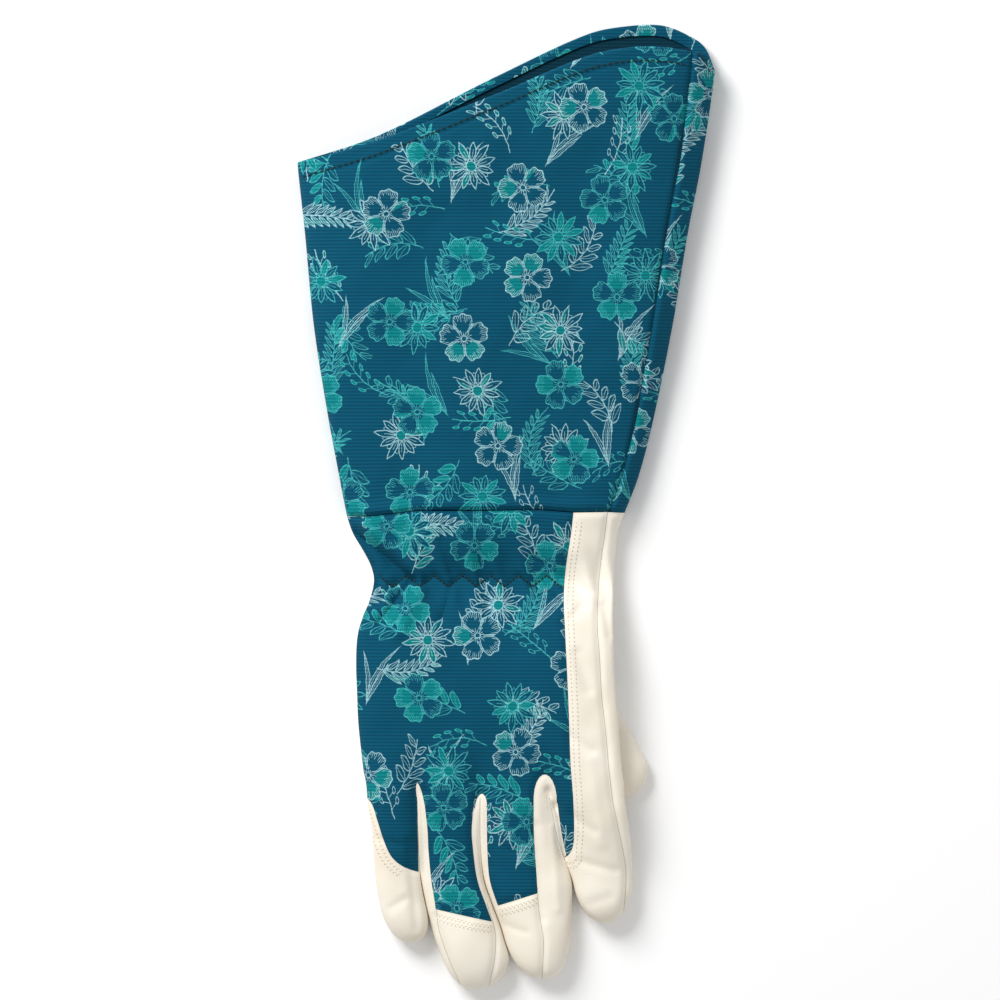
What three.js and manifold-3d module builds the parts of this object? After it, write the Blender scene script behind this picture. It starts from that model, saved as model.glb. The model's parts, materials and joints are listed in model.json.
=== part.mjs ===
// A rose pruning gauntlet for the right hand, lying palm down with its thumb folded under the palm.
// Millimetres. The hand seam, where the cuff meets the hand, is at y = 0. The mouth of the cuff is
// towards +Y, the fingertips are towards -Y and the thumb side is towards +X, until the last lines
// move the glove so that the middle of its box stands on the origin.

import * as THREE from "three";
import { mergeVertices } from "three/addons/utils/BufferGeometryUtils.js";
import Module from "manifold-3d";

const wasm = await Module();
wasm.setup();

// Driving dimensions of the cuff
const CUFF_LENGTH = 197.5; // from the hand seam to the mouth, where it is longest
const CUFF_FLARE_LITTLE = 21; // how far the mouth reaches out past the hand seam, little finger side
const CUFF_FLARE_THUMB = 38.4; // the same on the thumb side
const CUFF_MOUTH_HEIGHT = 27;
const CUFF_EDGE_HEIGHT = 9; // height of the side fold above the table at the mouth
const CUFF_WALL = 1.5;
const HEM_WIDTH = 7.2;
const HEM_FOLD = 0.9; // what the turned hem adds to the wall, inside
const HEM_STEP = 0.25; // half the length over which the wall grows by that
const UNDER_OVERHANG = 9; // how far the under panel reaches past the upper one at the mouth

// Driving dimensions of the hand
const HAND_WIDTH = 109.6;
const HAND_LENGTH = 120.8; // from the hand seam to the roots of the fingers
const HAND_HEIGHT = 16;
const HAND_WALL = 1.4;
const EDGE_HEIGHT = 6; // height of the side fold above what it lies on
const PLEAT_PITCH = 12; // gathers over the elastic at the wrist
const PLEAT_DEPTH = 1.1;
const PLEAT_REACH = 11;

// Driving dimensions of the fingers
const FINGER_REACH = 81.8; // what the tables of finger outlines are shares of
const LITTLE_LENGTH = 61.9;
const RING_LENGTH = 81.8;
const MIDDLE_LENGTH = 77;
const INDEX_LENGTH = 53.4;
const FINGER_HEIGHT = 14;
const FINGER_TIP = 15.3; // length of a fingertip's round end
const FINGER_GAP = 1; // between two fingers that lie side by side
const ROOT_OVERLAP = 26; // how far a finger's tube runs back inside the hand

// Driving dimensions of the thumb
const THUMB_LENGTH = 76;
const THUMB_WIDTH = 26.3;
const THUMB_HEIGHT = 9.5;
const THUMB_EDGE_HEIGHT = 4;
const THUMB_TIP = 11;
const THUMB_ACROSS = 0.565; // where the thumb's tip lies, a share of the hand's width
const THUMB_ANGLE = 60.6; // degrees that the thumb points down from the X axis
const THUMB_SEAT = 0.3; // between the hand's wall and the thumb's root inside it
const THUMB_BEND = 38; // from the tip back to where the thumb starts to rise into the palm
const THUMB_ROOT = 60; // and to where it is inside the hand
const THUMB_CLEARANCE = 0.9; // between the thumb and the palm that lies over it
const FLATTENED = 0.4; // share of the lift by which the hand lies flatter over the thumb
const LIFT_SLOPE = 24; // how far beside the thumb the palm comes down to the table
const LIFT_FADE = 34; // how far past the thumb's tip the index finger comes down to the table
const THUMB_CROTCH = 53; // from the thumb's tip back to where the lifted palm starts to come down
const THUMB_HEEL = 100; // and to where it is down on the table again

const SEAM_GAP = 0.3; // between two panels that are sewn together

// How square the sections are: 2 is an ellipse
const HAND_SQUARENESS = 2.5;
const CUFF_SQUARENESS = 2.1;
const FINGER_SQUARENESS = 2.2;
const UNDER_DEPTH = 1.5; // the under side would reach this share of the edge's height below it
const EDGE_CROWDING = 0.6; // how much closer points stand near the side folds
const LAST_TIP_ROW = 0.93; // where a round tip's last row stands, a share of its quarter turn

// Points and rows that the surfaces are made with
const HAND_COLUMNS = 26;
const FINGER_COLUMNS = 8;
const THUMB_COLUMNS = 8;
const CUFF_COLUMNS = 18;
const CUFF_ROWS = 8;
const TIP_ROWS = 3;
const PARTING_COLUMNS = 12;
const PARTING_ROWS = 16;
const CREASE_POINTS = 16;
const LEAST_STEP = 0.3; // places nearer than this share of an even step to an end are left out

const FABRIC_COLOUR = 0x23657a;
const LEATHER_COLOUR = 0xf2ead9;

// Side folds of the cuff: shares of its length, and of the flare on each side
const CUFF_EDGES = [
  { along: 0, little: 0, thumb: 0 },
  { along: 0.08, little: 0.16, thumb: 0.16 },
  { along: 0.2, little: 0.375, thumb: 0.32 },
  { along: 0.4, little: 0.67, thumb: 0.53 },
  { along: 0.6, little: 0.85, thumb: 0.7 },
  { along: 0.75, little: 1, thumb: 0.85 },
  { along: 0.95, little: 1.13, thumb: 1 },
  { along: 1.06, little: 1.2, thumb: 1.04 },
];

// Mouth of the cuff. along runs across it, from the little finger side at -1 to the thumb side at 1.
// reach is a share of the cuff's length, under a share of the overhang
const CUFF_MOUTH = [
  { along: -1, reach: 0.751, under: 0 },
  { along: -0.587, reach: 0.803, under: 0.2 },
  { along: -0.03, reach: 0.9, under: 0.8 },
  { along: 0.4, reach: 0.982, under: 1 },
  { along: 0.6, reach: 1, under: 1 },
  { along: 0.76, reach: 1, under: 1 },
  { along: 0.88, reach: 0.991, under: 0.7 },
  { along: 0.95, reach: 0.985, under: 0.3 },
  { along: 1, reach: 0.951, under: 0 },
];

const CUFF_SEAM = 0.885; // side seams, a share of the cuff's half width

// Side folds of the hand: shares of its length and width, and its height
const HAND_EDGES = [
  { along: 0, little: -0.534, thumb: 0.54, top: 1.1 },
  { along: 0.063, little: -0.511, thumb: 0.515, top: 1.06 },
  { along: 0.13, little: -0.472, thumb: 0.507, top: 0.98 },
  { along: 0.189, little: -0.441, thumb: 0.499, top: 0.86 },
  { along: 0.242, little: -0.43, thumb: 0.4975, top: 0.8 },
  { along: 0.316, little: -0.449, thumb: 0.496, top: 0.9 },
  { along: 0.365, little: -0.472, thumb: 0.495, top: 0.96 },
  { along: 0.432, little: -0.493, thumb: 0.496, top: 1 },
  { along: 0.523, little: -0.499, thumb: 0.4975, top: 1 },
  { along: 0.646, little: -0.495, thumb: 0.5045, top: 1 },
  { along: 0.733, little: -0.491, thumb: 0.5145, top: 1 },
  { along: 0.835, little: -0.48, thumb: 0.522, top: 0.97 },
  { along: 1, little: -0.458, thumb: 0.539, top: 0.9 },
];
const HAND_ROWS = [0, 0.08, 0.15, 0.2, 0.242, 0.285, 0.35, 0.48, 0.62, 0.76, 0.86, 0.94, 1];
const WAIST = 0.242; // share of the hand's length where the elastic runs
const WEB_OUTSIDE = 0.55; // height of the web between two finger roots, a share of the finger's swell
const WEB_INSIDE = 0.25;
const LOBES_FROM = 0.79; // share of the hand's length where the finger roots start to show

// Folds pressed into the back of the hand: shares of the hand's width and length, then millimetres
const HAND_FOLDS = [
  { x1: -0.484, y1: 0.074, x2: -0.306, y2: 0.232, deep: 1.2, wide: 4 },
  { x1: -0.306, y1: 0.242, x2: -0.406, y2: 0.379, deep: 1.6, wide: 3.5 },
];

// Long soft dents in the upper panel of the cuff: shares of the half width and length
const CUFF_DENTS = [
  { x1: -0.55, y1: 0.05, x2: -0.35, y2: 0.6, deep: 1.8, wide: 13 },
  { x1: 0.5, y1: 0.1, x2: 0.45, y2: 0.75, deep: 1.6, wide: 14 },
];

// Outlines of the fingers: along from their roots, a share of FINGER_REACH, and shares of the hand's
// width. Little and ring, and ring and middle, share a crease. Middle and index part on the way
const FINGER_EDGES = [
  { along: 0, littleOuter: -0.458, littleRing: -0.263, ringMiddle: -0.019, middleSide: 0.248,
    indexSide: 0.248, indexOuter: 0.539 },
  { along: 0.166, littleOuter: -0.439, littleRing: -0.259, ringMiddle: -0.019, middleSide: 0.273,
    indexSide: 0.273, indexOuter: 0.557 },
  { along: 0.275, littleOuter: -0.432, littleRing: -0.2565, ringMiddle: -0.017, middleSide: 0.294,
    indexSide: 0.294, indexOuter: 0.566 },
  { along: 0.43, littleOuter: -0.424, littleRing: -0.2476, ringMiddle: -0.004, middleSide: 0.335,
    indexSide: 0.337, indexOuter: 0.572 },
  { along: 0.56, littleOuter: -0.408, littleRing: -0.229, ringMiddle: 0.029, middleSide: 0.337,
    indexSide: 0.356, indexOuter: 0.565 },
  { along: 0.663, littleOuter: -0.391, littleRing: -0.209, ringMiddle: 0.058, middleSide: 0.336,
    indexSide: 0.367, indexOuter: 0.56 },
  { along: 0.741, littleOuter: -0.383, littleRing: -0.193, ringMiddle: 0.0754, middleSide: 0.333,
    indexSide: 0.375, indexOuter: 0.555 },
  { along: 0.819, littleOuter: -0.375, littleRing: -0.17, ringMiddle: 0.0928, middleSide: 0.321,
    indexSide: 0.38, indexOuter: 0.55 },
  { along: 1, littleOuter: -0.36, littleRing: -0.128, ringMiddle: 0.12, middleSide: 0.29,
    indexSide: 0.39, indexOuter: 0.54 },
];

const FINGERS = [
  { name: "little", left: "littleOuter", right: "littleRing", length: LITTLE_LENGTH },
  { name: "ring", left: "littleRing", right: "ringMiddle", length: RING_LENGTH },
  { name: "middle", left: "ringMiddle", right: "middleSide", length: MIDDLE_LENGTH },
  { name: "index", left: "indexSide", right: "indexOuter", length: INDEX_LENGTH },
];

// Edges of the printed back panel on the fingers, in the shares of FINGER_EDGES
const PRINT_EDGES = [
  { along: 0, ringLeft: -0.236, ringRight: -0.04, middleLeft: 0.008, middleRight: 0.1876,
    indexLeft: 0.278, indexRight: 0.34 },
  { along: 0.166, ringLeft: -0.222, ringRight: -0.0518, middleLeft: 0.008, middleRight: 0.188,
    indexLeft: 0.294, indexRight: 0.344 },
  { along: 0.275, ringLeft: -0.218, ringRight: -0.0464, middleLeft: 0.0097, middleRight: 0.192,
    indexLeft: 0.31, indexRight: 0.338 },
  { along: 0.43, ringLeft: -0.207, ringRight: -0.03, middleLeft: 0.019, middleRight: 0.2,
    indexLeft: 0.335, indexRight: 0.34 },
  { along: 0.56, ringLeft: -0.192, ringRight: 0.0035, middleLeft: 0.05, middleRight: 0.205,
    indexLeft: 0.32, indexRight: 0.33 },
  { along: 0.66, ringLeft: -0.185, ringRight: 0.031, middleLeft: 0.08, middleRight: 0.21,
    indexLeft: 0.32, indexRight: 0.33 },
];
const RING_CAP = { left: 0.58, right: 0.645 }; // where the caps start, shares of FINGER_REACH
const MIDDLE_CAP = { left: 0.562, right: 0.497 };
const INDEX_PRINT_END = 0.312;
const SHORT_OF_END = 0.02; // a table's rows nearer than this to a print edge's end are left out
const CAP_LEAD = 0.03; // how far before a cap its seams already part the leather beside it

// Points of the printed panel's edge across the little finger, in the same shares
const LITTLE_CAP_EDGE = [
  { along: -0.036, x: -0.49 },
  { along: 0.028, x: -0.441 },
  { along: 0.119, x: -0.416 },
  { along: 0.212, x: -0.394 },
  { along: 0.295, x: -0.367 },
  { along: 0.337, x: -0.34 },
  { along: 0.368, x: -0.302 },
  { along: 0.387, x: -0.261 },
];

// Points inside the printed strip on the index finger, where no leather is parted, in the same shares
const UNDER_INDEX_PRINT = [
  { along: -0.3, x: 0.29 },
  { along: -0.119, x: 0.31 },
  { along: 0.292, x: 0.325 },
];

// Where the printed panel forks at the finger roots, in the same shares
const FORKS = { littleRing: -0.073, ringMiddle: -0.06, middleIndex: -0.119 };

// Seams beside the caps, which run out to the fingertip, in the same shares
const CAP_SEAMS = [
  { along: 0.5, ringLeft: -0.197, ringRight: 0, middleRight: 0.2027 },
  { along: 0.58, ringLeft: -0.188, ringRight: 0.014, middleRight: 0.208 },
  { along: 0.663, ringLeft: -0.182, ringRight: 0.034, middleRight: 0.217 },
  { along: 0.741, ringLeft: -0.166, ringRight: 0.042, middleRight: 0.226 },
  { along: 0.86, ringLeft: -0.133, ringRight: 0.035, middleRight: 0.224 },
  { along: 0.943, ringLeft: -0.105, ringRight: 0.021, middleRight: 0.22 },
  { along: 1.05, ringLeft: -0.075, ringRight: 0.005, middleRight: 0.216 },
];

// Edge of the printed panel along the leather on the thumb side, shares of the hand's length and width
const PRINT_SIDE = [
  { along: -0.05, x: 0.346 },
  { along: 0.07, x: 0.333 },
  { along: 0.19, x: 0.313 },
  { along: 0.3, x: 0.304 },
  { along: 0.43, x: 0.3095 },
  { along: 0.7, x: 0.323 },
  { along: 0.87, x: 0.329 },
  { along: 0.965, x: 0.337 },
];

// Side seam, where the palm's leather comes round to the back: the hand's shares, then the fingers'
const SIDE_SEAM_HAND = [
  { along: -0.05, x: 0.48 },
  { along: 0.08, x: 0.463 },
  { along: 0.168, x: 0.449 },
  { along: 0.263, x: 0.439 },
  { along: 0.379, x: 0.433 },
  { along: 0.505, x: 0.442 },
  { along: 0.646, x: 0.451 },
  { along: 0.772, x: 0.466 },
  { along: 0.9, x: 0.478 },
];
const SIDE_SEAM_FINGER = [
  { along: 0.016, x: 0.493 },
  { along: 0.16, x: 0.5145 },
  { along: 0.326, x: 0.54 },
  { along: 0.389, x: 0.545 },
  { along: 0.45, x: 0.545 },
  { along: 0.528, x: 0.541 },
  { along: 0.6, x: 0.536 },
  { along: 0.7, x: 0.53 },
];

const mix = THREE.MathUtils.lerp;
const smooth = (from, to, at) => THREE.MathUtils.smoothstep(at, from, to);

// The value of a table's column at a place between its rows, on a smooth curve through them
function sample(rows, column, at) {
  const last = rows.length - 1;
  if (at <= rows[0].along) return rows[0][column];
  if (at >= rows[last].along) return rows[last][column];
  const i = rows.findIndex((row) => row.along > at) - 1;
  const slope = (k) => {
    const before = rows[Math.max(k - 1, 0)];
    const after = rows[Math.min(k + 1, last)];
    return (after[column] - before[column]) / (after.along - before.along);
  };
  const span = rows[i + 1].along - rows[i].along;
  const t = (at - rows[i].along) / span;
  const from = rows[i][column];
  const rise = rows[i + 1][column] - from;
  const start = slope(i) * span;
  const end = slope(i + 1) * span;
  return from + t * start + t * t * (3 * rise - 2 * start - end) + t * t * t * (start + end - 2 * rise);
}

// Places across a section from one share of its half width to another, closer near the side folds
function placesAcross(from, to, count) {
  const places = [from];
  const low = Math.min(from, to);
  const high = Math.max(from, to);
  const least = LEAST_STEP / count;
  for (let i = 1; i < count; i += 1) {
    const even = Math.sign(to - from) * ((2 * i) / count - 1);
    const place = mix(even, Math.sin((even * Math.PI) / 2), EDGE_CROWDING);
    if (place > low + least && place < high - least) places.push(place);
  }
  places.push(to);
  return places;
}

// How high a section's surface stands at a place across it, from 1 in the middle to 0 at its fold
function swell(across, squareness) {
  const share = Math.min(Math.abs(across), 1);
  return (1 - share ** squareness) ** (1 / squareness);
}

// Depth of a fold or dent at a point, from the line that it runs along
function pressed(folds, x, y, unitX, unitY) {
  let deep = 0;
  for (const fold of folds) {
    const start = new THREE.Vector2(fold.x1 * unitX, fold.y1 * unitY);
    const end = new THREE.Vector2(fold.x2 * unitX, fold.y2 * unitY);
    const line = end.clone().sub(start);
    const point = new THREE.Vector2(x, y).sub(start);
    const t = THREE.MathUtils.clamp(point.dot(line) / line.lengthSq(), 0, 1);
    const away = point.distanceTo(line.multiplyScalar(t));
    deep += fold.deep * Math.exp(-((away / fold.wide) ** 2));
  }
  return deep;
}

// A closed solid between two grids of points with the same rows and columns. The second grid faces
// the other way. A closed ring of columns is given with its first point again at the end of each row
function plate(front, back) {
  const rows = front.length;
  const columns = front[0].length;
  const positions = [...front.flat(), ...back.flat()].flat();
  const at = (side, i, j) => side * rows * columns + i * columns + j;
  const index = [];
  const quad = (a, b, c, d) => index.push(a, b, c, a, c, d);
  for (let i = 0; i + 1 < rows; i += 1) {
    for (let j = 0; j + 1 < columns; j += 1) {
      quad(at(0, i, j), at(0, i, j + 1), at(0, i + 1, j + 1), at(0, i + 1, j));
      quad(at(1, i, j), at(1, i + 1, j), at(1, i + 1, j + 1), at(1, i, j + 1));
    }
  }
  for (let i = 0; i + 1 < rows; i += 1) {
    quad(at(0, i + 1, 0), at(1, i + 1, 0), at(1, i, 0), at(0, i, 0));
    quad(at(0, i, columns - 1), at(1, i, columns - 1), at(1, i + 1, columns - 1), at(0, i + 1, columns - 1));
  }
  for (let j = 0; j + 1 < columns; j += 1) {
    quad(at(0, 0, j), at(1, 0, j), at(1, 0, j + 1), at(0, 0, j + 1));
    quad(at(0, rows - 1, j + 1), at(1, rows - 1, j + 1), at(1, rows - 1, j), at(0, rows - 1, j));
  }
  const geometry = new THREE.BufferGeometry();
  geometry.setAttribute("position", new THREE.Float32BufferAttribute(positions, 3));
  geometry.setIndex(index);
  return geometry;
}

// A closed tube: its upper side and its under side are two grids that meet along both side folds
const tube = (top, bottom) => solid(plate(top, bottom));

function solid(geometry) {
  const bare = geometry.clone();
  bare.deleteAttribute("normal");
  bare.deleteAttribute("uv");
  const merged = mergeVertices(bare, 1e-4);
  const corners = merged.index.array;
  const triVerts = [];
  for (let i = 0; i < corners.length; i += 3) {
    const [a, b, c] = corners.slice(i, i + 3);
    if (a !== b && b !== c && c !== a) triVerts.push(a, b, c);
  }
  const mesh = { numProp: 3, vertProperties: new Float32Array(merged.attributes.position.array) };
  const made = new wasm.Manifold(new wasm.Mesh({ ...mesh, triVerts: new Uint32Array(triVerts) }));
  if (made.volume() > 0) return made;
  triVerts.reverse();
  return new wasm.Manifold(new wasm.Mesh({ ...mesh, triVerts: new Uint32Array(triVerts) }));
}

function geometryOf(made) {
  const mesh = made.getMesh();
  const geometry = new THREE.BufferGeometry();
  geometry.setAttribute("position", new THREE.BufferAttribute(mesh.vertProperties, 3));
  geometry.setIndex(new THREE.BufferAttribute(mesh.triVerts, 1));
  geometry.computeVertexNormals();
  return geometry;
}

// Where a point lies beside the thumb: back from its tip, and aside from its middle line
const thumbTip = new THREE.Vector2(THUMB_ACROSS * HAND_WIDTH, -HAND_LENGTH);
const thumbTurn = THREE.MathUtils.degToRad(THUMB_ANGLE);
const thumbAxis = new THREE.Vector2(Math.cos(thumbTurn), -Math.sin(thumbTurn));
const thumbSide = new THREE.Vector2(-thumbAxis.y, thumbAxis.x);

// How far the thumb under the palm lifts the hand off the table
function lift(x, y) {
  const from = new THREE.Vector2(x, y).sub(thumbTip);
  const back = -from.dot(thumbAxis);
  const aside = from.dot(thumbSide);
  const beside = smooth(-THUMB_WIDTH / 2 - LIFT_SLOPE, -THUMB_WIDTH / 2, aside);
  const length = smooth(-LIFT_FADE, 0, back) * (1 - smooth(THUMB_CROTCH, THUMB_HEEL, back));
  return (THUMB_HEIGHT + THUMB_CLEARANCE) * beside * length;
}

function cuffEdges(y) {
  const along = y / CUFF_LENGTH;
  const left = HAND_EDGES[0].little * HAND_WIDTH - sample(CUFF_EDGES, "little", along) * CUFF_FLARE_LITTLE;
  const right = HAND_EDGES[0].thumb * HAND_WIDTH + sample(CUFF_EDGES, "thumb", along) * CUFF_FLARE_THUMB;
  return { mid: (left + right) / 2, half: (right - left) / 2 };
}

// A point of the cuff: share t from the hand seam to the mouth, share across, on top or underneath
function cuffPoint(t, across, onTop, inset) {
  const overhang = onTop ? 0 : UNDER_OVERHANG * sample(CUFF_MOUTH, "under", across);
  const reach = CUFF_LENGTH * sample(CUFF_MOUTH, "reach", across) + overhang;
  const y = mix(SEAM_GAP / 2, reach, t);
  const { mid, half } = cuffEdges(y);
  const x = mid + (half - inset) * across;
  const edge = mix(EDGE_HEIGHT, CUFF_EDGE_HEIGHT, t);
  const squareness = mix(HAND_SQUARENESS, CUFF_SQUARENESS, t);
  const rise = swell(across, squareness);
  if (!onTop) return [x, y, Math.max(inset, edge * (1 - UNDER_DEPTH * rise))];
  const top = mix(HAND_HEIGHT * HAND_EDGES[0].top, CUFF_MOUTH_HEIGHT, t);
  const dent = pressed(CUFF_DENTS, x - mid, y, half, CUFF_LENGTH);
  return [x, y, edge + (top - inset - edge - dent) * rise];
}

// A panel of the cuff, from a side seam round one side fold to the other side seam. side is 1 where
// the fold is on the thumb side, and onTop says whether the panel's wide part is the upper one
function cuffPanel(side, onTop) {
  const hemStart = 1 - HEM_WIDTH / CUFF_LENGTH;
  const step = HEM_STEP / CUFF_LENGTH;
  const rows = Array.from({ length: CUFF_ROWS }, (_, i) => {
    return { t: (hemStart * i) / CUFF_ROWS, wall: CUFF_WALL };
  });
  rows.push({ t: hemStart - step, wall: CUFF_WALL });
  rows.push({ t: hemStart + step, wall: CUFF_WALL + HEM_FOLD });
  rows.push({ t: 1, wall: CUFF_WALL + HEM_FOLD });
  const grid = (thick) =>
    rows.map(({ t, wall }) => {
      const inset = thick ? wall : 0;
      const clear = SEAM_GAP / 2 / cuffEdges(t * CUFF_LENGTH).half;
      const wide = placesAcross(-side * (CUFF_SEAM - clear), side, CUFF_COLUMNS);
      const narrow = placesAcross(side, side * (CUFF_SEAM + clear), CUFF_COLUMNS).slice(1);
      return [
        ...wide.map((across) => cuffPoint(t, across, onTop, inset)),
        ...narrow.map((across) => cuffPoint(t, across, !onTop, inset)),
      ];
    });
  return solid(plate(grid(false), grid(true)));
}

function fingerEdges(finger, y) {
  const along = (-HAND_LENGTH - y) / FINGER_REACH;
  const left = sample(FINGER_EDGES, finger.left, along) * HAND_WIDTH + FINGER_GAP / 2;
  const right = sample(FINGER_EDGES, finger.right, along) * HAND_WIDTH - FINGER_GAP / 2;
  return { mid: (left + right) / 2, half: (right - left) / 2 };
}

// The swell of the finger whose root is at x, for the knuckle end of the hand
function lobe(x) {
  for (const finger of FINGERS) {
    const { mid, half } = fingerEdges(finger, -HAND_LENGTH);
    if (Math.abs(x - mid) < half) return swell((x - mid) / half, FINGER_SQUARENESS);
  }
  return 0;
}

function handEdges(y) {
  const along = -y / HAND_LENGTH;
  const left = sample(HAND_EDGES, "little", along) * HAND_WIDTH;
  const right = sample(HAND_EDGES, "thumb", along) * HAND_WIDTH;
  return { mid: (left + right) / 2, half: (right - left) / 2 };
}

// A point of the hand. inset is the wall for the hollow, 0 for the outside, and less than 0 to grow
function handPoint(along, across, onTop, inset) {
  const start = inset > 0 ? 0 : SEAM_GAP / 2;
  const end = HAND_LENGTH - inset;
  const y = -mix(start, end, along);
  const { mid, half } = handEdges(y);
  const x = mid + (half - inset) * across;
  const rise = swell(across, HAND_SQUARENESS);
  const floor = lift(x, y);
  if (!onTop) return [x, y, floor + Math.max(inset, EDGE_HEIGHT * (1 - UNDER_DEPTH * rise))];
  const top = HAND_HEIGHT * sample(HAND_EDGES, "top", along) - EDGE_HEIGHT - inset - FLATTENED * floor;
  const web = inset > 0 ? WEB_INSIDE : WEB_OUTSIDE;
  const lobes = (FINGER_HEIGHT - EDGE_HEIGHT - inset - FLATTENED * floor) * Math.max(lobe(x), web * rise);
  const smoothTop = mix(top * rise, lobes, smooth(LOBES_FROM, 1, along));
  const waist = Math.exp(-(((y + WAIST * HAND_LENGTH) / PLEAT_REACH) ** 2));
  const wave = inset > 0 ? 1 : 0.5 + 0.5 * Math.cos((2 * Math.PI * x) / PLEAT_PITCH);
  const pleat = PLEAT_DEPTH * waist * wave;
  const folds = pressed(HAND_FOLDS, x, -y, HAND_WIDTH, HAND_LENGTH);
  return [x, y, floor + EDGE_HEIGHT + smoothTop - (pleat + folds) * rise];
}

function handTube(inset) {
  const places = placesAcross(-1, 1, HAND_COLUMNS);
  const grid = (onTop) =>
    HAND_ROWS.map((along) => places.map((across) => handPoint(along, across, onTop, inset)));
  return tube(grid(true), grid(false));
}

// Rows of a tube that ends in a round tip: how far along, and the share of the full section there
function tipRows(bodyRows, length, tip) {
  const rows = bodyRows.map((at) => ({ at, share: 1 }));
  for (let i = 1; i <= TIP_ROWS; i += 1) {
    const s = Math.sin(((i / TIP_ROWS) * LAST_TIP_ROW * Math.PI) / 2);
    rows.push({ at: length - tip * (1 - s), share: Math.sqrt(1 - s * s) });
  }
  return rows;
}

function fingerTube(finger, inset) {
  const length = finger.length - inset;
  const tip = FINGER_TIP - inset;
  const body = length - tip;
  const bodyRows = [-ROOT_OVERLAP, 0, 0.2 * body, 0.4 * body, 0.6 * body, 0.8 * body, body];
  const places = placesAcross(-1, 1, FINGER_COLUMNS);
  const point = ({ at, share }, across, onTop) => {
    const y = -HAND_LENGTH - at;
    const { mid, half } = fingerEdges(finger, y);
    const x = mid + (half - inset) * share * across;
    const rise = swell(across, FINGER_SQUARENESS) * share;
    const under = Math.max(inset, EDGE_HEIGHT * (1 - UNDER_DEPTH * rise));
    const floor = lift(x, y);
    const top = FINGER_HEIGHT - inset - EDGE_HEIGHT - FLATTENED * floor;
    return [x, y, floor + (onTop ? EDGE_HEIGHT + top * rise : under)];
  };
  const rows = tipRows(bodyRows, length, tip);
  const grid = (onTop) => rows.map((row) => places.map((across) => point(row, across, onTop)));
  return tube(grid(true), grid(false));
}

function thumbTube(inset) {
  const tip = THUMB_TIP - inset;
  const start = inset; // the hollow ends a wall's thickness before the tip
  const rows = tipRows([0, 0.2, 0.4, 0.6, 0.8, 1].map((s) => s * (THUMB_LENGTH - THUMB_TIP)),
    THUMB_LENGTH - start, tip);
  const places = placesAcross(-1, 1, THUMB_COLUMNS);
  const point = ({ at, share }, across, onTop) => {
    const back = THUMB_LENGTH - at;
    const aside = (THUMB_WIDTH / 2 - inset) * share * across;
    const place = thumbTip.clone().addScaledVector(thumbAxis, -back).addScaledVector(thumbSide, aside);
    const rise = swell(across, FINGER_SQUARENESS) * share;
    const under = Math.max(inset, THUMB_EDGE_HEIGHT * (1 - UNDER_DEPTH * rise));
    const over = THUMB_EDGE_HEIGHT + (THUMB_HEIGHT - inset - THUMB_EDGE_HEIGHT) * rise;
    const inside = lift(place.x, place.y) + HAND_WALL + THUMB_SEAT;
    const root = inside * smooth(THUMB_BEND, THUMB_ROOT, back);
    return [place.x, place.y, root + (onTop ? over : under)];
  };
  const grid = (onTop) => rows.map((row) => places.map((across) => point(row, across, onTop)));
  return tube(grid(true), grid(false));
}

const TALL = 80; // higher than everything, for cutting bodies
const WIDE = 200;
const PAST_TIPS = 1.2; // such bodies end past the fingertips, at this share of their reach

// All that lies above the side folds, moved up or down by the given distance
function aboveFolds(move) {
  const grid = (height) =>
    Array.from({ length: PARTING_ROWS + 1 }, (_, i) =>
      Array.from({ length: PARTING_COLUMNS + 1 }, (_, j) => {
        const x = mix(-WIDE / 2, WIDE / 2, j / PARTING_COLUMNS);
        const y = mix(SEAM_GAP, -HAND_LENGTH - FINGER_REACH * PAST_TIPS, i / PARTING_ROWS);
        return [x, y, height ?? EDGE_HEIGHT + lift(x, y) + move];
      }),
    );
  return solid(plate(grid(TALL), grid(null)));
}

// An upright body over an outline
function upright(points) {
  const shape = new THREE.Shape(points);
  const geometry = new THREE.ExtrudeGeometry(shape, { depth: 2 * TALL, bevelEnabled: false });
  return solid(geometry.translate(0, 0, -TALL));
}

// A line of a table as points in the plane, moved aside
const handLine = (rows, move) =>
  rows.map((row) => new THREE.Vector2(row.x * HAND_WIDTH + move, -row.along * HAND_LENGTH));
const fingerSpot = (share, along) =>
  new THREE.Vector2(share * HAND_WIDTH, -HAND_LENGTH - along * FINGER_REACH);
const fingerLine = (rows, column, move) =>
  rows.map((row) => fingerSpot(row[column], row.along).add(new THREE.Vector2(move, 0)));

// The stretch of a print edge between the finger roots and a place along it
function printEdge(column, until, move) {
  const inside = PRINT_EDGES.filter((row) => row.along < until - SHORT_OF_END);
  const end = { along: until, [column]: sample(PRINT_EDGES, column, until) };
  return fingerLine([...inside, end], column, move);
}

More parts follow.
